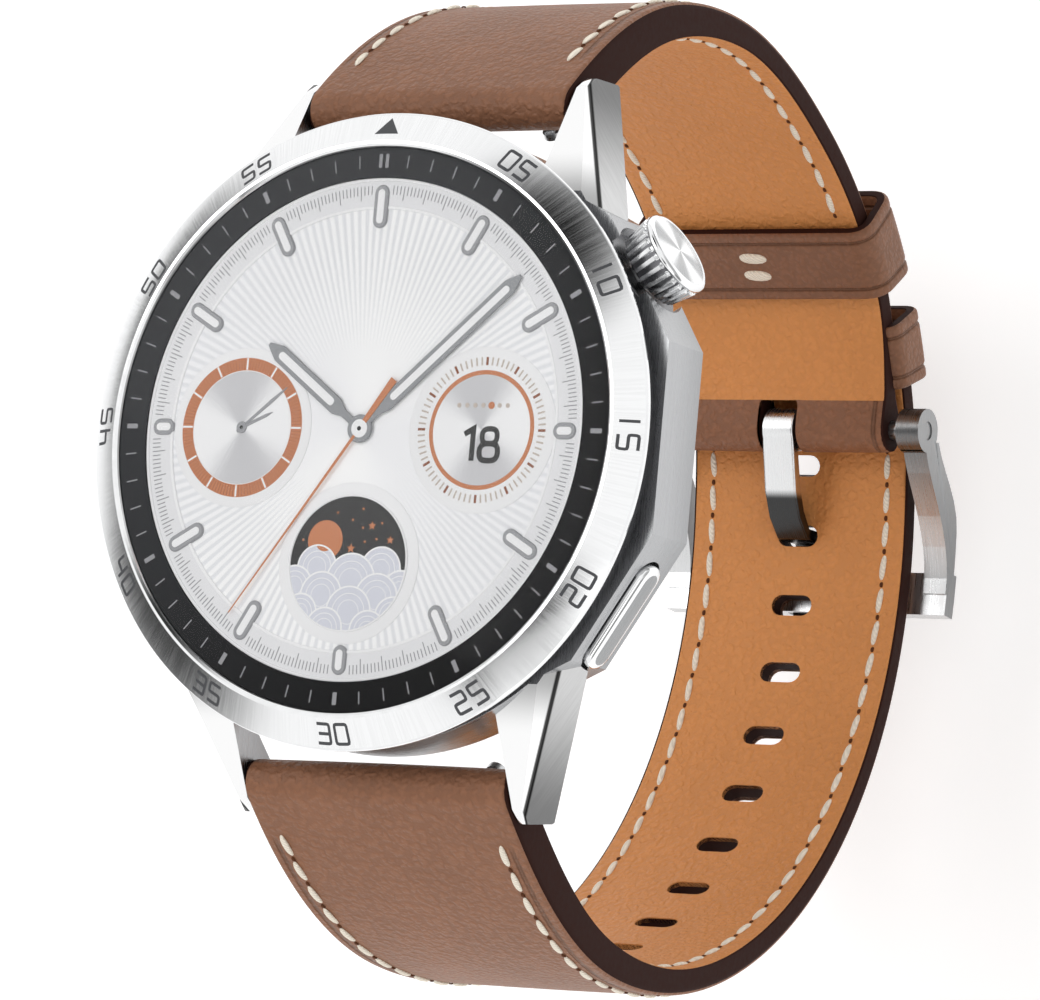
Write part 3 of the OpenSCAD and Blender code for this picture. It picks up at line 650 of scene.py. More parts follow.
def finish_mesh(name, me, body, mats, sharp, replaces, flat_first=False):
    for m in mats:
        me.materials.append(M[m])
    me.shade_smooth()
    me.set_sharp_from_angle(angle=radians(sharp))
    obj = bpy.data.objects.new(name, me)
    bpy.context.scene.collection.objects.link(obj)
    if flat_first:
        obj.modifiers.new("weighted", "WEIGHTED_NORMAL").keep_sharp = True
    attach(obj, body)
    if replaces:
        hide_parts(*replaces)
    return obj


def build_mesh(name, parts):
    """Mesh of closed parts in millimetres, each a bare shape or (shape, material number or list)."""
    verts, faces, marks = [], [], []
    for part in parts:
        shape, mark = part if isinstance(part[0], tuple) else (part, 0)
        start = len(verts)
        verts += [tuple(v) for v in shape[0]]
        faces += [tuple(i + start for i in f) for f in shape[1]]
        marks += mark if isinstance(mark, list) else [mark] * len(shape[1])
    me = bpy.data.meshes.new(name)
    me.from_pydata(verts, [], faces)
    me.polygons.foreach_set("material_index", marks)
    bm = bmesh.new()
    bm.from_mesh(me)
    bmesh.ops.recalc_face_normals(bm, faces=bm.faces)
    bmesh.ops.scale(bm, vec=(MM, MM, MM), verts=bm.verts)
    bm.to_mesh(me)
    bm.free()
    return me


def piece(name, parts, mats, body, slot, sharp=SHARP, replaces=()):
    """One object from parts in the form that build_mesh takes."""
    return finish_mesh(name, build_mesh(name, parts), body, mats, sharp, replaces)


def on_dial(name, parts, *mats, slot="dial_face", **options):
    return piece(name, parts, list(mats), "case", slot, **options)


def remake(name, node, body, mats, bevel, choose=None, segments=2):
    """A CAD node's shape as a new piece, with its sharp edges rounded off."""
    bm = bmesh.new()
    bm.from_mesh(frame["nodes"][node].data)
    bmesh.ops.remove_doubles(bm, verts=bm.verts, dist=1e-6)
    bmesh.ops.dissolve_limit(bm, angle_limit=radians(0.8), verts=bm.verts, edges=bm.edges)
    edges = [e for e in bm.edges if e.is_manifold and e.calc_face_angle(0) > radians(28)]
    bmesh.ops.bevel(bm, geom=edges, offset=bevel * MM, offset_type="OFFSET", segments=segments, profile=0.5,
                    affect="EDGES", clamp_overlap=True)
    bmesh.ops.recalc_face_normals(bm, faces=bm.faces)
    for face in bm.faces:
        face.material_index = choose(face) if choose else 0
    me = bpy.data.meshes.new(name)
    bm.to_mesh(me)
    bm.free()
    return finish_mesh(name, me, body, mats, 40, (node,), flat_first=True)


# ---------- dial ----------

HOUR_AT, MINUTE_AT, SECOND_AT = -53.7, 47.9, -144.5


def dial():
    base = lathe([(0, 11.0), (18.15, 11.0), (18.15, DIAL), (0, DIAL)], 256)
    on_dial("dial_plate", [base], "dial", replaces=("display_module", "minute_ring"))
    on_dial("dial_chapter_ring", [annulus(16.0, 17.93, DIAL - 0.02, DIAL + 0.05, 0.04, 256)], "pale")
    on_dial("dial_step_ring",
            [annulus(15.88, 16.14, DIAL - 0.02, DIAL + 0.09, 0.05, 256),
             annulus(17.9, 18.16, DIAL - 0.02, DIAL + 0.12, 0.05, 256)], "white")
    ticks = []
    for deg in range(360):
        if min(deg % 30, 30 - deg % 30) > 2:
            low = 16.55 if deg % 6 == 0 else 16.95
            ticks.append(raised(bar(0.035, low, 17.6), DIAL, 0.062, deg))
    on_dial("dial_ticks", ticks, "grey")
    frames, fills = [], []
    for hour in range(12):
        low = {3: 15.78, 9: 15.78, 6: 15.5}.get(hour, 14.5)
        place = clock(hour * 30)
        frames.append(moved(relief(pill(low, 17.65, 0.6), DIAL, DIAL + 0.16, 0.09), place))
        fills.append(moved(relief(pill(low + 0.3, 17.35, 0.31), DIAL + 0.1, DIAL + 0.185, 0.05), place))
    on_dial("dial_indices", frames, "mid")
    on_dial("dial_index_fills", fills, "white")
    on_dial("minute_track", [annulus(18.15, 20.33, 11.6, 12.15, 0.03, 256)], "ring", slot="dial_black")
    marks, low, high = [], 12.1, 12.165
    for minute in range(60):
        if minute == 0:
            twin = relief(bar(0.13, 18.85, 19.85), low, high)
            marks += [moved(twin, clock(0, x)) for x in (-0.27, 0.27)]
        else:
            wide = 0.17 if minute % 5 == 0 else 0.045
            marks.append(moved(relief(bar(wide, 18.9, 19.8), low, high), clock(minute * 6)))
    on_dial("minute_marks", marks, "grey", slot="dial_black")


def sub_disc(x, y, r=SUB_R):
    place = clock(0, x, y)
    body = lathe([(0, DIAL - 0.02), (r, DIAL - 0.02), (r, DIAL + 0.05), (r - 0.22, SUB_TOP), (0, SUB_TOP)],
                 160)
    return moved(body, place)


def sub_dials():
    on_dial("sub_dial_plates", [sub_disc(*LEFT), sub_disc(*RIGHT, 5.95), sub_disc(*LOWER)], "white")
    at_left, at_right = clock(0, *LEFT), clock(0, *RIGHT)
    on_dial("world_time_ring", [moved(annulus(4.16, 5.07, SUB_TOP - 0.02, SUB_TOP + 0.03, 0.02), at_left)],
            "copper")
    lines = []
    for k in range(120):
        wide = k % 10 == 0
        half, high = (0.07, 0.045) if wide else (0.02, 0.036)
        lines.append((raised(bar(half, 4.2, 5.03), SUB_TOP, high, k * 3, *LEFT), 0 if wide else 1))
    on_dial("world_time_lines", lines, "white", "rust")
    on_dial("world_time_centre", [moved(disc(4.1, SUB_TOP - 0.02, SUB_TOP + 0.015, 0.01), at_left)],
            "cone_left")
    thin = [(0.1, -0.5), (0.1, 0.6), (0.13, 3.2), (0.04, 4.6), (-0.04, 4.6), (-0.13, 3.2), (-0.1, 0.6),
            (-0.1, -0.5)]
    short = [(0.12, -0.3), (0.12, 2.2), (0.03, 2.75), (-0.03, 2.75), (-0.12, 2.2), (-0.12, -0.3)]
    on_dial("world_time_hands",
            [moved(relief(thin, SUB_TOP + 0.03, SUB_TOP + 0.07, 0.02), clock(50.5, *LEFT)),
             moved(relief(short, SUB_TOP + 0.02, SUB_TOP + 0.05, 0.02), clock(66, *LEFT)),
             moved(disc(0.42, SUB_TOP, SUB_TOP + 0.1, 0.03, 40), at_left)], "mid")
    on_dial("world_time_hub", [moved(disc(0.14, SUB_TOP + 0.05, SUB_TOP + 0.11, 0.01, 32), at_left)], "ink")

    ticks = []
    for k in range(72):
        wide = k % 6 == 0
        ticks.append((moved(relief(bar(0.09 if wide else 0.06, 4.62, 5.2), SUB_TOP - 0.01, SUB_TOP + 0.02),
                            clock(k * 5, *RIGHT)), 0 if wide else 1))
    on_dial("date_ticks", ticks, "rust", "beige")
    on_dial("date_ring", [moved(annulus(3.95, 4.27, SUB_TOP - 0.02, SUB_TOP + 0.03, 0.02), at_right)],
            "copper")
    on_dial("date_centre", [moved(disc(3.97, SUB_TOP - 0.02, SUB_TOP + 0.012, 0.01), at_right)], "cone_right")
    one = [(-1.45, 0.72), (-1.42, 0.74), (-0.72, 1.13), (-0.72, -1.15)]
    upper = fillet([(0.02, 0.08), (1.24, 0.08), (1.24, 1.13), (0.02, 1.13)], 0.5)
    lower = fillet([(-0.12, -1.13), (1.38, -1.13), (1.38, 0.08), (-0.12, 0.08)], 0.58)
    number = [stroke(one[1:], 0.4, SUB_TOP, SUB_TOP + 0.035),
              stroke(upper, 0.38, SUB_TOP, SUB_TOP + 0.035, closed=True),
              stroke(lower, 0.4, SUB_TOP, SUB_TOP + 0.036, closed=True)]
    on_dial("date_number", [moved(part, clock(0, RIGHT[0] + 0.1, -1.05)) for part in number], "ink")
    days = [(moved(disc(0.26 if k == 4 else 0.17, SUB_TOP, SUB_TOP + 0.035, 0.015, 32),
                   clock(0, RIGHT[0] + (k - 3) * 0.66, 1.75)), 0 if k == 4 else 1) for k in range(7)]
    on_dial("date_day_dots", days, "copper", "beige")


# Clouds of the moon dial as (x, y, radius), from the back row to the front
CLOUDS = [[(-2.55, -0.35, 1.65), (2.75, -0.45, 1.70)],
          [(0.35, -1.30, 2.05), (-4.3, -1.7, 1.5), (4.5, -1.9, 1.5)],
          [(-2.0, -2.35, 1.75), (2.6, -2.45, 1.8)],
          [(0.4, -3.5, 1.9), (-3.6, -3.6, 1.4), (4.0, -3.7, 1.4)],
          [(-1.5, -4.7, 1.55), (2.1, -4.8, 1.5)]]
STAR_POINTS = 5
STARS = [(1.75, 2.70, 0.34), (3.35, 1.70, 0.32), (0.15, 1.05, 0.36)]
DOTS = [(-1.2, 3.6), (0.9, 3.9), (0.1, 3.1), (1.0, 2.55), (2.55, 2.9), (2.2, 1.75), (1.25, 1.55),
        (-3.9, 1.6), (3.1, 0.95)]


def moon_dial():
    place = clock(0, *LOWER)
    window = 4.8

    def kept(part):
        """Pulls a part's points inside the round window."""
        def pull(p):
            r = hypot(p[0], p[1])
            k = min(1, window / r) if r else 1
            return (p[0] * k, p[1] * k, p[2])
        return moved(moved(part, pull), place)

    on_dial("moon_sky", [moved(disc(window, SUB_TOP - 0.02, SUB_TOP + 0.01, 0.005), place)], "ink",
            slot="dial_black")
    dome = lathe([(0, SUB_TOP), (1.45, SUB_TOP), (1.44, SUB_TOP + 0.015), (1.0, SUB_TOP + 0.03),
                  (0, SUB_TOP + 0.04)], 64)
    on_dial("moon", [moved(dome, clock(0, LOWER[0] - 2.05, LOWER[1] + 1.6))], "copper")
    sparks = []
    for x, y, r in STARS:
        reach = [r, r * 0.42] * STAR_POINTS
        points = [(x + far * sin(pi * k / STAR_POINTS), y + far * cos(pi * k / STAR_POINTS))
                  for k, far in enumerate(reach)]
        sparks.append(moved(relief(points[::-1], SUB_TOP, SUB_TOP + 0.03), place))
    sparks += [moved(disc(0.09, SUB_TOP, SUB_TOP + 0.025, 0.01, 16), clock(0, LOWER[0] + x, LOWER[1] + y))
               for x, y in DOTS]
    on_dial("moon_stars", sparks, "copper")
    under = [(cos(t) * window, sin(t) * window) for t in (pi * (1.07 + 0.86 * k / 40) for k in range(41))]
    bodies, rims = [moved(relief(under, SUB_TOP, SUB_TOP + 0.02), place)], []
    for row, clouds in enumerate(CLOUDS):
        z = SUB_TOP + 0.02 + 0.012 * row
        for x, y, r in clouds:
            bodies.append(kept(moved(disc(r - 0.05, SUB_TOP, z + 0.012, 0.005, 64), clock(0, x, y))))
            for size, wide in ((r, 0.13), (r * 0.72, 0.06), (r * 0.47, 0.05)):
                rims.append(kept(moved(annulus(size - wide, size, z, z + 0.018, 0.006, 64), clock(0, x, y))))
    on_dial("moon_clouds", bodies, "cloud")
    on_dial("moon_cloud_rims", rims, "white")
    on_dial("moon_window_ring",
            [moved(annulus(window - 0.02, window + 0.14, SUB_TOP - 0.01, SUB_TOP + 0.1, 0.05), place)],
            "white")


def hand(length, w):
    """Outline of a hand, narrow at the hub, w wide each side of its middle and pointed at its end."""
    start, neck = 0.75, 0.3
    edge = [(neck, start), (neck, 1.9), (w, 2.7), (w, length - 1.15), (0.13, length)]
    return edge + [(-x, y) for x, y in reversed(edge)]


def hands():
    hour, minute, second = clock(HOUR_AT), clock(MINUTE_AT), clock(SECOND_AT)
    on_dial("hour_hand", [moved(relief(hand(10.3, 0.64), 12.04, 12.10, 0.05), hour)], "hand", sharp=20)
    on_dial("minute_hand", [moved(relief(hand(16.4, 0.6), 12.10, 12.155, 0.045), minute)], "hand", sharp=20)
    on_dial("hand_fills",
            [moved(relief(pill(3.0, 9.1, 0.31), 12.08, 12.112, 0.02), hour),
             moved(relief(pill(3.2, 15.2, 0.28), 12.13, 12.166, 0.02), minute)], "white")
    edge = [(0.29, -4.35), (0.2, -0.6), (0.12, 0.6), (0.045, 16.5)]
    needle = edge + [(-x, y) for x, y in reversed(edge)]
    on_dial("second_hand", [moved(relief(needle, 12.165, 12.19, 0.015), second)], "copper")
    on_dial("hand_hub", [disc(1.02, 12.04, 12.17, 0.06, 64)], "hand")
    on_dial("hand_hub_cap",
            [lathe([(0, 12.16), (0.66, 12.16), (0.66, 12.185), (0.56, 12.205), (0, 12.212)], 48)], "white")
    on_dial("hand_hub_pin", [disc(0.17, 12.18, 12.218, 0.01, 24)], "ink")


# ---------- bezel ----------

# The sloping face starts at this radius and height, and the numbers are cut at MARK_R
FACE_R, FACE_Z = 20.75, 12.5
MARK_R = 21.86
SLOPE = (FACE_Z - 11.35) / (23 - FACE_R)
DIGITS = {
    "0": ([(0, 0), (1, 0), (1, 1), (0, 1)], True), "1": ([(0.5, 0), (0.5, 1)], False),
    "2": ([(0, 1), (1, 1), (1, 0.5), (0, 0.5), (0, 0), (1, 0)], False),
    "3": ([(0, 1), (1, 1), (1, 0), (0, 0)], False), "4": ([(0, 1), (0, 0.42), (1, 0.42)], False),
    "5": ([(1, 1), (0, 1), (0, 0.5), (1, 0.5), (1, 0), (0, 0)], False)}


def on_bezel(angle, flip):
    """Bends a flat mark onto the bezel's sloping face; a flipped mark has its top towards the dial."""
    def place(p):
        u, v = (-p[0], -p[1]) if flip else (p[0], p[1])
        r, t = MARK_R + v, radians(angle) + u / MARK_R
        return r * sin(t), r * cos(t), FACE_Z - SLOPE * (r - FACE_R) + p[2]
    return place


def bezel():
    profile = [(20.35, 10.0), (20.35, 12.25), (20.42, 12.37), (20.6, 12.485), (20.8, 12.474),
               (22.82, 11.442), (22.95, 11.35), (23, 11.25), (23, 11.12), (22.9, 11.03), (22.2, 10.5),
               (22.2, 9.6), (20, 9.6), (20, 10.0)]
    # Profile faces: 1 polished, 0 the satin sloping face, 2 the lower edge, undercut and underside in dark
    # steel as painted shade.
    seg = [1, 1, 1, 1, 0, 1, 1, 1, 2, 2, 2, 2, 2, 2]
    n = 256
    piece("bezel_ring", [(lathe(profile, n), seg * n)], ["bezel", "polished", "shadow"], "case",
          "steel_bezel", replaces=("bezel",), sharp=22)
    w, h, gap, line = 1.02, 1.32, 0.46, 0.21
    marks = []
    for k in range(1, 12):
        flip = 20 <= k * 5 <= 40
        place = on_bezel(k * 30, flip)
        for i, digit in enumerate(f"{k * 5:02d}"):
            x0 = (i - 1) * w + (i - 0.5) * gap
            path, closed = DIGITS[digit]
            path = [(x0 + x * w, (y - 0.5) * h) for x, y in path]
            path = fillet(path, 0.16, closed, 2)
            marks.append(moved(stroke(path, line, -0.03, 0.014, closed), place))
            if digit == "3":
                marks.append(moved(stroke([(x0 + 0.1, 0), (x0 + w - 0.1, 0)], line, -0.03, 0.013), place))
            if digit == "4":
                marks.append(moved(stroke([(x0 + w - 0.12, h / 2), (x0 + w - 0.12, -h / 2)], line, -0.03,
                                          0.015), place))
    marks.append(moved(relief([(-1.0, -0.52), (1.0, -0.52), (0, 0.72)], -0.03, 0.014), on_bezel(0, False)))
    piece("bezel_marks", marks, ["engraved"], "case", "steel_bezel")


# ---------- case, crown and button ----------

def case_finish_and_painted_shade(face):
    """Lug steel, with its painted shade, on top of the lugs, dark steel as painted shade on their narrow
    edges, its own brushing on the guard's top.
    """
    rise = face.normal.z
    lug_from = 15.5
    if abs(face.calc_center_median().y) > lug_from * MM:
        # Faces between the lug's flank and its side get the dark steel: painted shade on the chamfer.
        return 1 if rise > 0.38 else 2 if rise > 0.06 else 0
    return 3 if rise > 0.9 else 0


def on_radius(angle):
    """From a control's own frame, its Z along a radius of the dial, to the row frame."""
    c, s = cos(radians(angle)), sin(radians(angle))
    return lambda p: (p[2] * c - p[1] * s, p[2] * s + p[1] * c, CONTROL_Z - p[0])


def crown():
    place = on_radius(CONTROL_A)
    teeth, per, tooth_high = 26, 10, 0.26
    n = teeth * per
    # Radius, place along the axis and share of the teeth's height, from the case outwards
    rows = [(2.2, 22.95, 0), (2.45, 22.97, 0), (2.56, 23.02, 0.2), (2.60, 23.12, 1), (2.90, 24.95, 1),
            (2.92, 25.08, 0.3), (2.93, 25.16, 0), (3.10, 25.22, 0), (3.17, 25.3, 0), (3.18, 25.5, 0),
            (3.1, 25.65, 0), (2.98, 25.73, 0), (2.85, 25.8, 0), (2.73, 25.72, 0)]
    rings = []
    for r, z, rib in rows:
        ring = []
        for k in range(n):
            reach = r + tooth_high * rib * ease(-0.4, 0.4, cos(TAU * k / per))
            ring.append((reach * cos(TAU * k / n), reach * sin(TAU * k / n), z))
        rings.append(ring)
    shape = loft(rings)
    # Rows from the seventh on are polished; the grooves between the teeth get dark steel as painted shade.
    marks = [1 if i >= 6 else 2 if cos(TAU * (k + 0.5) / per) < -0.45 else 0
             for i in range(len(rings) - 1) for k in range(n)] + [0, 1]
    piece("crown_knurled_cap", [(moved(shape, place), marks)], ["knurl", "polished", "shadow"], "crown",
          "steel_crown", sharp=50, replaces=("crown_cap",))
    face = lathe([(0, 25.6), (2.74, 25.6), (2.74, 25.74), (2.66, 25.79), (1.4, 25.815), (0, 25.82)], 128)
    piece("crown_end_face", [moved(face, place)], ["crown_face"], "crown", "steel_crown",
          replaces=("crown_face",))
    # The collar is all dark steel: painted shade where the crown meets the case.
    piece("crown_collar", [moved(annulus(1.62, 3.45, 22.4, 22.52, 0.04, 96), place)], ["shadow"], "case",
          "steel_small")


def button():
    place = on_radius(-CONTROL_A)
    outline = pill(-4.3, 4.3, 1.25, 14)
    rings = [[(x, y, 22.75) for x, y in outline], [(x, y, 23.42) for x, y in outline]]
    for d, z in ((0.05, 23.55), (0.16, 23.66), (0.34, 23.74), (0.52, 23.765), (0.60, 23.80), (0.85, 23.84)):
        rings.append([(x, y, z) for x, y in inset(outline, d)])
    n = len(outline)
    marks = [1 if i < 5 else 0 for i in range(len(rings) - 1) for k in range(n)] + [1, 0]
    posts = [moved(disc(0.5, 19.7, 22.8, 0.05, 24), clock(0, 0, y)) for y in (-2.6, 2.6)]
    piece("button_cap", [(moved(loft(rings), place), marks)] + [moved(p, place) for p in posts],
          ["button", "polished"], "button", "steel_case", replaces=("side_button",), sharp=30)
    well_out, well_in = pill(-4.5, 4.5, 1.45, 14), pill(-4.36, 4.36, 1.31, 14)
    rim = loft([[(x, y, z) for x, y in ring] for ring, z in
                ((well_out, 22.25), (well_out, 22.7), (well_in, 22.7), (well_in, 22.25))], loop=True)
    piece("button_seal", [moved(rim, place)], ["rubber"], "case", "rubber")


def case():
    remake("case_middle", "mid_frame", "case", ["case", "lug", "shadow", "guard"], 0.2,
           case_finish_and_painted_shade)
    remake("case_back", "rear_case", "case", ["black"], 0.08)


# ---------- straps ----------

class Strap:
    """A strap's middle line, thickness and half width at an angle round the loop."""

    def __init__(self, side, short):
        self.side, self.short = side, short

    def r(self, a):
        if self.short:
            return (BAR_R + (KEEPER_R + 0.7 - BAR_R) * ease(BAR_A, 75, a) - 0.7 * ease(92, 120, a)
                    - (KEEPER_R - PIN_R) * ease(143, PIN_A, a))
        return (BAR_R + (LONG_R - BAR_R) * ease(BAR_A, 78, a) + 0.3 * ease(186, 198, a)
                + 0.9 * ease(203, 214, a))

    def t(self, a):
        if self.short:
            return (THICK - (THICK - THIN_SHORT) * ease(BAR_A, 105, a)
                    + (2 * WRAP_R - THIN_SHORT) * ease(156, PIN_A, a))
        return THICK - (THICK - THIN_LONG) * ease(BAR_A, 105, a)

    def half(self, a):
        w = HALF_LUG + (HALF_END - HALF_LUG) * ease(BAR_A, 118, a)
        if self.short:
            return w
        u = max(0, (a - TAIL_A + TAIL_ROUND) / TAIL_ROUND)
        return w * sqrt(1.02 - u * u * 0.8)

    def at(self, a, offset):
        """Point at an offset outwards from the middle line, as (Y, Z)."""
        r, t = self.r(a) + offset, radians(a)
        return Vector((self.side * r * sin(t), LOOP_Z + r * cos(t)))

    def frame(self, a):
        """Outward and forward directions as (Y, Z)."""
        t = radians(a)
        return Vector((self.side * sin(t), cos(t))), Vector((self.side * cos(t), -sin(t)))

    def face(self, a, sign):
        return self.at(a, sign * self.t(a) / 2)


def steps(a, b, step):
    n = max(1, ceil(abs(b - a) / step))
    return [a + (b - a) * k / n for k in range(n + 1)]


def face_rows(strap, sign, a0, a1, step=1.0):
    """Rows (inner point, shown point, half width) of a skin on the outer (1) or inner (-1) face."""
    return [(strap.at(a, sign * (strap.t(a) / 2 - SKIN)), strap.face(a, sign), strap.half(a) - REVEAL)
            for a in steps(a0, a1, step)]


def nose_rows(strap, a, centre, r, ahead):
    """Rows round a bar or pin, from one face to the other; ahead is 1 at the pin and -1 at the lug."""
    out, forward = strap.frame(a)
    rows = []
    for k in range(1, 16):
        t = pi * k / 16
        d = out * cos(t) * ahead + forward * sin(t) * ahead
        rows.append((centre + d * (r - SKIN), centre + d * r, strap.half(a) - REVEAL))
    return rows


def profile(hw, thick, r, crown=0.0, groove=None):
    """Closed section as (x, height), rounded on the shown side.
    A groove is the distance of a soft groove from each edge."""
    r, back = min(r, thick * 0.45), min(0.06, thick * 0.2)
    made = [(-hw + back, 0), (hw - back, 0), (hw, back)]
    for k in range(6):
        t = pi / 2 * k / 5
        made.append((hw - r + r * cos(t), thick - crown - r + r * sin(t)))
    right = [(hw * f, thick - crown * f * f) for f in (0.93, 0.85, 0.72, 0.5, 0.25)]
    if groove:
        dips = ((0.30, 0), (0.18, 0.035), (0.08, 0.10), (0, 0.12), (-0.08, 0.10), (-0.18, 0.035), (-0.30, 0))
        right = [(hw - groove + x, thick - dip) for x, dip in dips] + [(hw * f, thick) for f in (0.45, 0.2)]
    made += right + [(0, thick)] + [(-x, h) for x, h in reversed(right)]
    for k in range(6):
        t = pi / 2 * (1 + k / 5)
        made.append((-hw + r + r * cos(t), thick - crown - r + r * sin(t)))
    made.append((-hw, back))
    return made


def ribbon(rows, r, crown=0.0):
    """Strap layer through rows of (inner point, shown point, half width)."""
    rings = []
    for lo, hi, hw in rows:
        thick = (hi - lo).length
        way = (hi - lo) / thick
        rings.append([(x, (lo + way * h).x, (lo + way * h).y) for x, h in profile(hw, thick, r, crown)])
    return loft(rings)


def core_rows(strap):
    """Rows of the core, whose painted edge shows; its ends are rounded round the bar and the pin."""
    rows = []
    gap, r = 0.10, THICK / 2 - 0.10
    for t in (14, 33, 52, 71):
        a = BAR_A - degrees(r * cos(radians(t)) / BAR_R)
        h = r * sin(radians(t))
        rows.append((strap.at(a, -h), strap.at(a, h), strap.half(BAR_A)))
    end = PIN_A if strap.short else TAIL_A
    for a in steps(BAR_A, end, 1.0):
        h = strap.t(a) / 2 - gap
        rows.append((strap.at(a, -h), strap.at(a, h), strap.half(a)))
    if strap.short:
        for t in (71, 52, 33, 14):
            a = PIN_A + degrees((WRAP_R - gap) * cos(radians(t)) / PIN_R)
            h = (WRAP_R - gap) * sin(radians(t))
            rows.append((strap.at(a, -h), strap.at(a, h), strap.half(PIN_A)))
    return rows


def tube_x(r, x0, x1, y, z):
    n = 32
    return loft([[(x, y + r * cos(TAU * k / n), z + r * sin(TAU * k / n)) for k in range(n)]
                 for x in (x0, x1)])


def through(strap, a, outline, low, high):
    """Prism through a strap at an angle; the outline is (x, distance along the strap)."""
    out, forward = strap.frame(a)
    mid = strap.at(a, 0)
    rings = []
    for h in (low, high):
        rings.append([(x, *(mid + forward * s + out * h)) for x, s in outline])
    return loft(rings)


def cut(obj, parts):
    """Takes closed shapes out of a piece, with the result applied to its mesh."""
    me = build_mesh("cutter", parts)
    tool = bpy.data.objects.new("cutter", me)
    bpy.context.scene.collection.objects.link(tool)
    change = obj.modifiers.new("cut", "BOOLEAN")
    change.operation, change.solver, change.object = "DIFFERENCE", "EXACT", tool
    bpy.context.view_layer.update()
    done = bpy.data.meshes.new_from_object(obj.evaluated_get(bpy.context.evaluated_depsgraph_get()))
    obj.modifiers.remove(change)
    obj.data = done
    done.shade_smooth()
    done.set_sharp_from_angle(angle=radians(SHARP))
    bpy.data.objects.remove(tool)
    bpy.data.meshes.remove(me)


def stitch(centre, along, out, length=2.14, wide=0.54, high=0.34, slant=4):
    """Thread between two holes, as a slim rounded bead half sunk in the leather."""
    centre, along, out = Vector(centre), Vector(along).normalized(), Vector(out).normalized()
    across = along.cross(out)
    c, s = cos(radians(slant)), sin(radians(slant))
    along, across = along * c + across * s, across * c - along * s
    rings = []
    for t in (-0.98, -0.86, -0.6, -0.2, 0.2, 0.6, 0.86, 0.98):
        f = sqrt(1 - abs(t) ** 2.6)
        mid = centre + along * (t * length / 2) + out * (0.04 - 0.10 * abs(t) ** 3)
        rings.append([tuple(mid + across * (wide / 2 * f * cos(TAU * k / 10))
                            + out * (high / 2 * f * sin(TAU * k / 10))) for k in range(10)])
    return loft(rings)


def seam(strap, sign, a0, a1, inset_x=1.75):
    """Row of stitches along both edges, with short dark beads between them painted as the shade in the holes
    the thread goes through.
    """
    parts = []
    a = a0
    while a < a1:
        for kind, at in ((0, a), (1, a + degrees(PITCH / 2 / strap.r(a)))):
            out, forward = strap.frame(at)
            for x in (-1, 1):
                spot = (x * (strap.half(at) - inset_x), *strap.face(at, sign))
                if kind:
                    shape = stitch(spot, (0, *forward), (0, *(out * sign)), 0.5, 0.3, 0.12, 0)
                else:
                    shape = stitch(spot, (0, *forward), (0, *(out * sign)), slant=4 * x)
                parts.append((shape, [kind] * len(shape[1])))
        a += degrees(PITCH / (strap.r(a) + sign * strap.t(a) / 2))
    return parts


SHORT, LONG = Strap(1, True), Strap(-1, False)
SLOT_OUTLINE = fillet([(-1.75, -2.75), (1.75, -2.75), (1.75, 4.0), (-1.75, 4.0)], 0.8)


def lug_cutters(strap):
    """The spring bar's tunnel and the well for its release lever."""
    bar_at = (strap.side * BAR_Y, BAR_Z)
    well = [(5.9, -0.9), (9.3, -0.9), (9.3, 0.9), (5.9, 0.9)]
    return [tube_x(0.93, -20, 20, *bar_at), through(strap, BAR_A, fillet(well, 0.35), -4, 0)]


def lug_rows(strap):
    """Skin from its turned-in end under the lug bar, round the bar and up to the shown face."""
    bar_at = Vector((strap.side * BAR_Y, BAR_Z))
    return face_rows(strap, -1, BAR_A + TURN_IN, BAR_A) + nose_rows(strap, BAR_A, bar_at, THICK / 2, -1)


def layer(strap, kind, rows, corner, crown, finish, slot, cutters=()):
    """One layer of a strap half, which stands in for the CAD node of the same kind."""
    half = "short" if strap.short else "long"
    node = half + "_" + ("filler" if kind == "edge" else kind)
    made = piece(f"{half}_strap_{kind}", [ribbon(rows, corner, crown)], [finish], "strap", slot,
                 replaces=(node,))
    if cutters:
        cut(made, cutters)


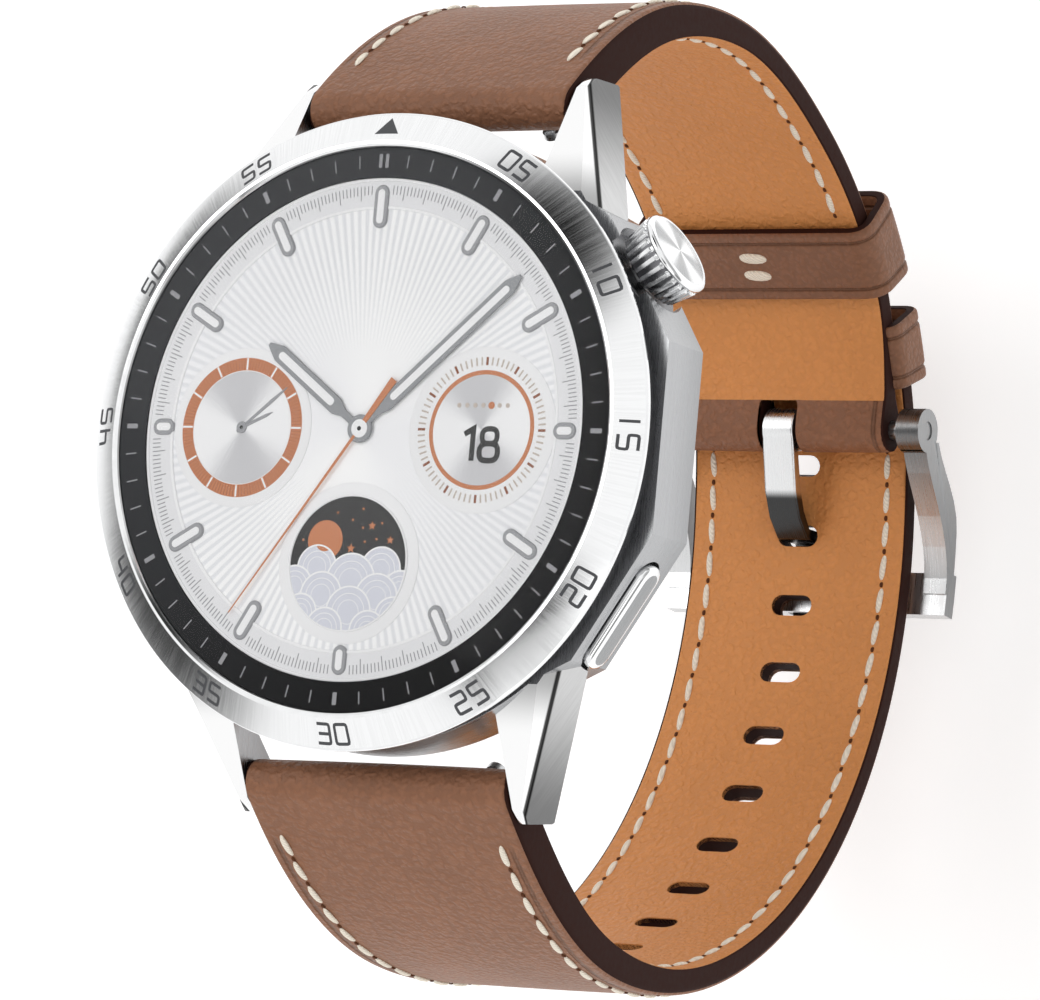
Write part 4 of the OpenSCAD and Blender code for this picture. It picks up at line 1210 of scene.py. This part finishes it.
def straps():
    pin = Vector((PIN_Y, PIN_Z))
    rows = lug_rows(SHORT) + face_rows(SHORT, 1, BAR_A, PIN_A)[:-1]
    rows += nose_rows(SHORT, PIN_A, pin, WRAP_R, 1)
    rows += face_rows(SHORT, -1, PIN_A, FOLD_A, step=0.7)
    slot = through(SHORT, PIN_A, SLOT_OUTLINE, -4, 4)
    tunnel = tube_x(0.8, -20, 20, PIN_Y, PIN_Z)
    lining = face_rows(SHORT, -1, BAR_A + TURN_IN + 0.25, FOLD_A + 0.4)
    layer(SHORT, "outer", rows, 0.3, 0.06, "outer", "leather_brown", lug_cutters(SHORT) + [slot])
    layer(SHORT, "edge", core_rows(SHORT), 0.5, 0, "edge", "filler", lug_cutters(SHORT) + [slot, tunnel])
    layer(SHORT, "lining", lining, 0.2, 0, "lining", "leather_tan")

    rows = lug_rows(LONG) + face_rows(LONG, 1, BAR_A, TAIL_A - 0.2)
    holes = [through(LONG, HOLE_IN_USE - HOLE_STEP * i, [(s, x) for x, s in pill(-1.8, 1.8, 0.85)], -4, 4)
             for i in range(-1, HOLE_N - 1)]
    lining = face_rows(LONG, -1, BAR_A + TURN_IN + 0.25, TAIL_A - 0.2)
    layer(LONG, "outer", rows, 0.3, 0.06, "outer", "leather_brown", lug_cutters(LONG) + holes)
    layer(LONG, "edge", core_rows(LONG), 0.5, 0, "edge", "filler", lug_cutters(LONG) + holes)
    layer(LONG, "lining", lining, 0.2, 0, "lining", "leather_tan", holes)
    for name, strap, outer_end, inner_end in (("short", SHORT, 142, 131.5), ("long", LONG, 203, 209)):
        rows = seam(strap, 1, OUTER_SEAM_A, outer_end) + seam(strap, -1, INNER_SEAM_A, inner_end)
        piece(name + "_strap_stitches", rows, ["thread", "hole"], "strap", "leather_tan", sharp=80)


# ---------- keepers ----------

def band(path, a, wide, thick, closed):
    """Leather band whose middle line is a path of (x, distance from the loop's centre)."""
    section = profile(wide / 2, thick, 0.34, groove=KEEPER_GROOVE)
    rings = []
    for i, p in enumerate(path):
        p = Vector(p)
        before = Vector(path[i - 1]) if closed or i else None
        after = Vector(path[(i + 1) % len(path)]) if closed or i < len(path) - 1 else None
        d0 = (p - before).normalized() if before is not None else (after - p).normalized()
        d1 = (after - p).normalized() if after is not None else d0
        n0, n1 = Vector((-d0.y, d0.x)), Vector((-d1.y, d1.x))
        m = (n0 + n1) / max(0.4, 1 + n0.dot(n1))
        ring = []
        for s, h in section:
            q = p + m * (h - thick / 2)
            t = radians(a) + s / KEEPER_R
            ring.append((q.x, q.y * sin(t), LOOP_Z + q.y * cos(t)))
        rings.append(ring)
    n = len(section)
    side = [1 if k in (1, 2, 3) or k >= n - 3 else 0 for k in range(n)]
    count = len(path) if closed else len(path) - 1
    return loft(rings, loop=closed), side * count + ([] if closed else [1, 1])


def keepers():
    x, r0, r1 = 10.2, 33.25, 38.35
    ring = fillet([(-x, r0), (-x, r1), (x, r1), (x, r0)], 1.5, n=7)
    dense = []
    for i, p in enumerate(ring):
        p, q = Vector(p), Vector(ring[(i + 1) % len(ring)])
        k = max(1, ceil((q - p).length / 1.2))
        dense += [tuple(p + (q - p) * j / k) for j in range(k)]
    piece("free_keeper_band", [band(dense, FREE_KEEPER_A, 6.5, KEEPER_THICK, True)], ["keeper", "edge"],
          "keeper", "leather_brown", replaces=("free_keeper",), sharp=40)
    beads = []
    r = 32.83
    for s in (-0.85, 0.85):
        t = radians(FREE_KEEPER_A) + s / KEEPER_R
        spot = (-0.1, r * sin(t), LOOP_Z + r * cos(t))
        beads.append(stitch(spot, (1, 0, 0), (0, -sin(t), -cos(t)), 2.5, 0.95, 0.5, slant=4))
    piece("free_keeper_stitches", beads, ["thread"], "keeper", "leather_tan", sharp=80)
    x, r0, r1 = 9.95, 34.35, 38.65
    path = fillet([(-8.6, r0), (-x, r0), (-x, r1), (x, r1), (x, r0), (8.6, r0)], 1.1, closed=False, n=7)
    piece("fixed_keeper_band", [band(path, FIXED_KEEPER_A, 5.3, KEEPER_THICK, False)], ["keeper_2", "edge"],
          "strap", "leather_brown", replaces=("fixed_keeper",), sharp=40)


def buckle():
    # The arms' side faces, whose normals run along x, get the darker arm steel: painted shade.
    remake("buckle_arms", "buckle_frame", "buckle", ["buckle", "arm"], 0.26,
           lambda face: 1 if abs(face.normal.x) > 0.8 else 0, segments=3)
    remake("tongue_blade", "buckle_tongue", "tongue", ["blade"], 0.17)


camera()
studio()
dial()
sub_dials()
moon_dial()
hands()
bezel()
case()
crown()
button()
straps()
keepers()
buckle()

bpy.ops.mesh.primitive_plane_add(size=4, location=(0, 0, FLOOR_Z * MM))
floor = bpy.context.object
floor.name = "floor"
ground = Shader("floor_white", roughness=0.9, specular_ior_level=0.1, emission_color=(1.0, 1.0, 1.0),
                emission_strength=0.42)
ground.link(ground.mix(ground.noise(ground.coords(), 0.02), (0.80, 0.80, 0.80), (0.84, 0.84, 0.84)),
            "Base Color")
floor.data.materials.append(ground.mat)
